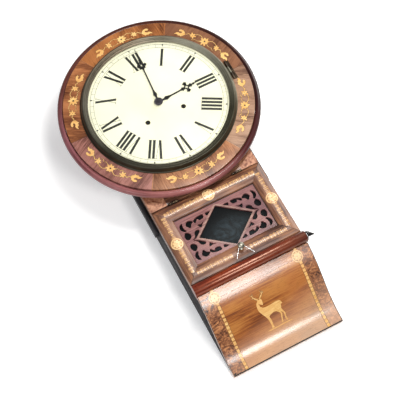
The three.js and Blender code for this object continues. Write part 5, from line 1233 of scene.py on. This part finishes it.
bm = bmesh.new()
budLine = [(0, 0), (8.7, 0), (9, 0.4), (9, 1.6), (8.7, 2), (5.3, 2.05), (4.96, 2.4), (5.7, 3.3), (6.2, 4.5),
           (6.1, 6), (5.58, 8), (4.75, 10), (3.72, 12), (2.55, 14.4), (1.55, 16.5), (0.8, 17.6), (0, 18)]
turnInto(bm, budLine, finial["place"], "x", 48, False, finialRise)
finishPiece("finial_turning", bm, woods["blackWood"], "case", "roll_finial", crease=50)
bm = bmesh.new()
collarLine = [(8.9, 1.2), (9.35, 1.35), (9.35, 2.15), (8.9, 2.3), (7.4, 2.3), (7.4, 1.2)]
turnInto(bm, collarLine, finial["place"], "x", 48)
finishPiece("finial_collar", bm, metals["steel"], "case", crease=50)


# Ogee lower panel that runs back to the wall at its foot.
ogee = {"top": -404.5, "bottom": -556.0, "topFront": 92, "bottomFront": 9, "sway": 0.08, "fall": 0.07,
        "thick": 8.5, "half": 122.5, "rows": 60}


def ogeeFront(z):
    share = min(max((ogee["top"] - z) / (ogee["top"] - ogee["bottom"]), 0), 1)
    run = share + ogee["fall"] * math.sin(math.pi * share) - ogee["sway"] * math.sin(2 * math.pi * share)
    return ogee["topFront"] + (ogee["bottomFront"] - ogee["topFront"]) * run


# A point of the panel's back, square behind a point of its front.
def ogeeBack(z):
    d0, d1 = ogeeFront(z + 0.5), ogeeFront(z - 0.5)
    length = math.hypot(d1 - d0, 1)
    return max(ogeeFront(z) - ogee["thick"] / length, 0.4), z + ogee["thick"] * (d0 - d1) / length


levels = [ogee["top"] + (ogee["bottom"] - ogee["top"]) * k / ogee["rows"] for k in range(ogee["rows"] + 1)]
backLine = [(d, max(z, ogee["bottom"])) for d, z in [ogeeBack(z) for z in levels] if z < ogee["top"] - 0.3]
section = [(ogeeFront(z), z) for z in levels] + backLine[::-1] + [(backLine[0][0] - 0.6, ogee["top"])]
bm = bmesh.new()
runInto(bm, section, -ogee["half"], ogee["half"], 0.5, stations=8)


def sweptGrain(spot, middle):
    return spot.x, spot.z * 1.15


finishPiece("ogee_panel", bm, woods["panelWalnut"], "case", "lower_panel", sweptGrain, 40)


def ogeeSurface(x, z):
    return ogeeFront(z)


# Shapes let into the panel, cut into rows so that they follow its sweep.
def sweptInto(bm, loop, lift):
    inlayInto(bm, [loop], ogeeSurface, lift, step=4.0)


# Burr strips down its sides, with their bands of tiles, dark lines and roundels.
sideStrips = {"band": 92.5, "bandTop": -406, "bandStep": 4, "bandSpots": 37, "inner": 96.4, "outer": 122.0,
              "line": 0.25, "lineGap": 0.3, "foot": -555.4, "head": -424, "dots": -421, "dotEnds": (-79, 78)}
bm = bmesh.new()
for side in (-1, 1):
    sweptInto(bm, box(side * sideStrips["inner"], ogee["top"] - 0.6, side * sideStrips["outer"],
                      ogee["bottom"] + 0.8), 0.04)
finishPiece("ogee_side_strips", bm, sideBurr, "case")
bmLine = bmesh.new()
for side, label in ((-1, "left"), (1, "right")):
    x = side * sideStrips["band"]
    levels = [sideStrips["bandTop"] - sideStrips["bandStep"] * k for k in range(sideStrips["bandSpots"])]
    points = [(x, ogeeFront(z) - sideBanding["sink"], z) for z in levels]
    bandRow("ogee_band_" + label, points, "case", 0.0, 20 + side, sideBanding)
    for edge in (-1, 1):
        middle = x + edge * (sideBanding["width"] / 2 + sideStrips["lineGap"])
        sweptInto(bmLine, box(middle - sideStrips["line"], sideStrips["foot"], middle + sideStrips["line"],
                              sideStrips["head"]), 0.06)
finishPiece("ogee_band_lines", bmLine, seamDark, "case")
dotDistance = ogeeFront(sideStrips["dots"]) - dotBanding["sink"]
dotLine = [(x, dotDistance, sideStrips["dots"]) for x in sideStrips["dotEnds"]]
bandRow("ogee_dot_line", dotLine, "case", 0.0, 30, dotBanding)
# Painted shade along the panel's foot and its two sides, where its edges show dark, and a real nail hole
# near the foot.
paintedEdgeShade = [(-122.1, -555.9, 122.1, -553.2), (121.2, -554.2, 122.3, -405), (-122.3, -554.2, -121.5, -405)]
nailHole = {"x": -118.4, "z": -551.2, "across": 2.7, "up": 1.6}
bm = bmesh.new()
for edge in paintedEdgeShade:
    sweptInto(bm, box(*edge), 0.07)
nailLoop = [(nailHole["x"] + nailHole["across"] * math.cos(0.4 * k),
             nailHole["z"] + nailHole["up"] * math.sin(0.4 * k)) for k in range(16)]
inlayInto(bm, [nailLoop], ogeeSurface, 0.06)
finishPiece("ogee_edge_shade_and_nail_hole", bm, seamDark, "case")
bm = bmesh.new()
roundelInto(bm, -93, -419, 11.5, ogeeSurface, 0.3)
roundelInto(bm, 91, -418.5, 11.5, ogeeSurface, 0.1)
finishPiece("ogee_roundels", bm, roundelWoods, "case", crease=50)

# The stag with its head turned back, in twentieths of a millimetre.
stagPlace = {"x": -36.5, "z": -436, "scale": 0.05}
stagBody = [(510, 590), (528, 530), (530, 470), (522, 405), (470, 388), (440, 400), (392, 392),
            (340, 425), (280, 470), (247, 560), (240, 650), (252, 730), (290, 800), (345, 885),
            (405, 965), (455, 1045), (482, 1100), (500, 1190), (508, 1290), (516, 1360), (500, 1430),
            (560, 1438), (600, 1425), (588, 1350), (598, 1250), (590, 1150), (572, 1040), (610, 1012),
            (700, 985), (800, 967), (880, 972), (945, 1012), (1005, 1065), (1032, 1130), (1010, 1200),
            (985, 1290), (958, 1400), (1008, 1402), (1032, 1300), (1062, 1215), (1094, 1125),
            (1070, 1040), (1110, 1085), (1162, 1140), (1150, 1230), (1152, 1320), (1175, 1412),
            (1220, 1405), (1200, 1310), (1206, 1230), (1216, 1140), (1172, 1050), (1142, 970),
            (1160, 900), (1188, 835), (1215, 830), (1255, 828), (1238, 780), (1195, 712), (1100, 688),
            (1000, 684), (900, 694), (750, 704), (600, 706), (490, 692), (420, 660), (385, 630),
            (362, 560), (352, 505), (405, 545), (460, 582), (495, 602)]
antlers = [  # a line of points, then its two widths
    ([(395, 400), (330, 335), (268, 285), (232, 225), (212, 150)], 60, 22),
    ([(250, 262), (205, 268), (170, 262)], 26, 12),
    ([(228, 205), (185, 175), (150, 118)], 26, 10),
    ([(240, 180), (262, 145), (262, 110)], 24, 10),
    ([(455, 395), (520, 330), (580, 292), (628, 245)], 56, 30),
    ([(560, 310), (556, 268), (545, 240)], 26, 10),
    ([(622, 250), (612, 190), (596, 120)], 28, 10),
    ([(628, 245), (672, 222), (722, 196)], 26, 10),
    ([(645, 240), (668, 185), (662, 150)], 22, 8),
]


def stagSpot(point):
    return (stagPlace["x"] + point[0] * stagPlace["scale"], stagPlace["z"] - point[1] * stagPlace["scale"])


bm, bmLine = bmesh.new(), bmesh.new()
sweptInto(bm, smoothLine([stagSpot(p) for p in stagBody], 3), 0.09)
for k, (line, w0, w1) in enumerate(antlers):
    loop = stroke([stagSpot(p) for p in line], w0 * stagPlace["scale"], w1 * stagPlace["scale"], 3)
    sweptInto(bm, loop, 0.07 + 0.002 * k)
    sweptInto(bmLine, swollen(loop, 0.45), 0.03 + 0.001 * k)
finishPiece("ogee_stag_lines", bmLine, seamDark, "case", weld=0.0005)
ground = [(-22, -509.4), (-12, -508.4), (0, -508.9), (12, -508.2), (26, -508.6), (34, -509.2), (27, -510.0),
          (8, -510.3), (-6, -510.6), (-16, -510.4)]
sweptInto(bm, smoothLine(ground, 4), 0.05)
finishPiece("ogee_stag", bm, woods["boxwood"], "case", weld=0.0005)
print("roll, finial and lower panel made")


# Top rail with burr ends, then the boards of the case and the hanging plate.
dressCopy("top_rail", woods["doorWalnut"], "case", 0.6)
railBurr = {"inner": 85, "outer": 121.9, "bottom": -203.2, "top": -155, "front": 93.0, "lift": 0.05}
bm = bmesh.new()
for side in (-1, 1):
    burrLoop = box(side * railBurr["inner"], railBurr["bottom"], side * railBurr["outer"], railBurr["top"])
    inlayInto(bm, [burrLoop], railBurr["front"], railBurr["lift"])
finishPiece("rail_burr_ends", bm, burrWalnut, "case")
boards = [("case_side_left", woods["darkSide"], "dark_side", 0.7, alongZ),
          ("case_side_right", woods["darkSide"], "dark_side", 0.7, alongZ),
          ("ear_left", woods["earWood"], "dark_side", 0.7, alongZ),
          ("ear_right", woods["earWood"], "dark_side", 0.7, alongZ),
          ("case_top", woods["darkSide"], "dark_side", 0.5, alongX),
          ("backboard", woods["pine"], "pine", 0.3, alongZ),
          ("hanger_plate", metals["blackSteel"], "black_steel", 0.1, alongX)]
for node, finish, slot, ease, grain in boards:
    dressCopy(node, finish, "case", ease, grain)

# The solids left showing get their own finishes; the rest of them are brass.
shown = {"movement_batten_left": solidPine, "movement_batten_right": solidPine, "gong_stand": metals["iron"]}
for node in ("gong_coil", "time_mainspring", "strike_mainspring", "time_winding_arbor",
             "strike_winding_arbor"):
    shown[node] = metals["blackSteel"]
for node in ("verge", "pendulum_rod", "strike_hammer"):
    shown[node] = metals["steel"]
for node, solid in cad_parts.items():
    if not solid.hide_render:
        solid.data.materials.clear()
        solid.data.materials.append(shown.get(node, metals["brass"]))
print("case and movement dressed")
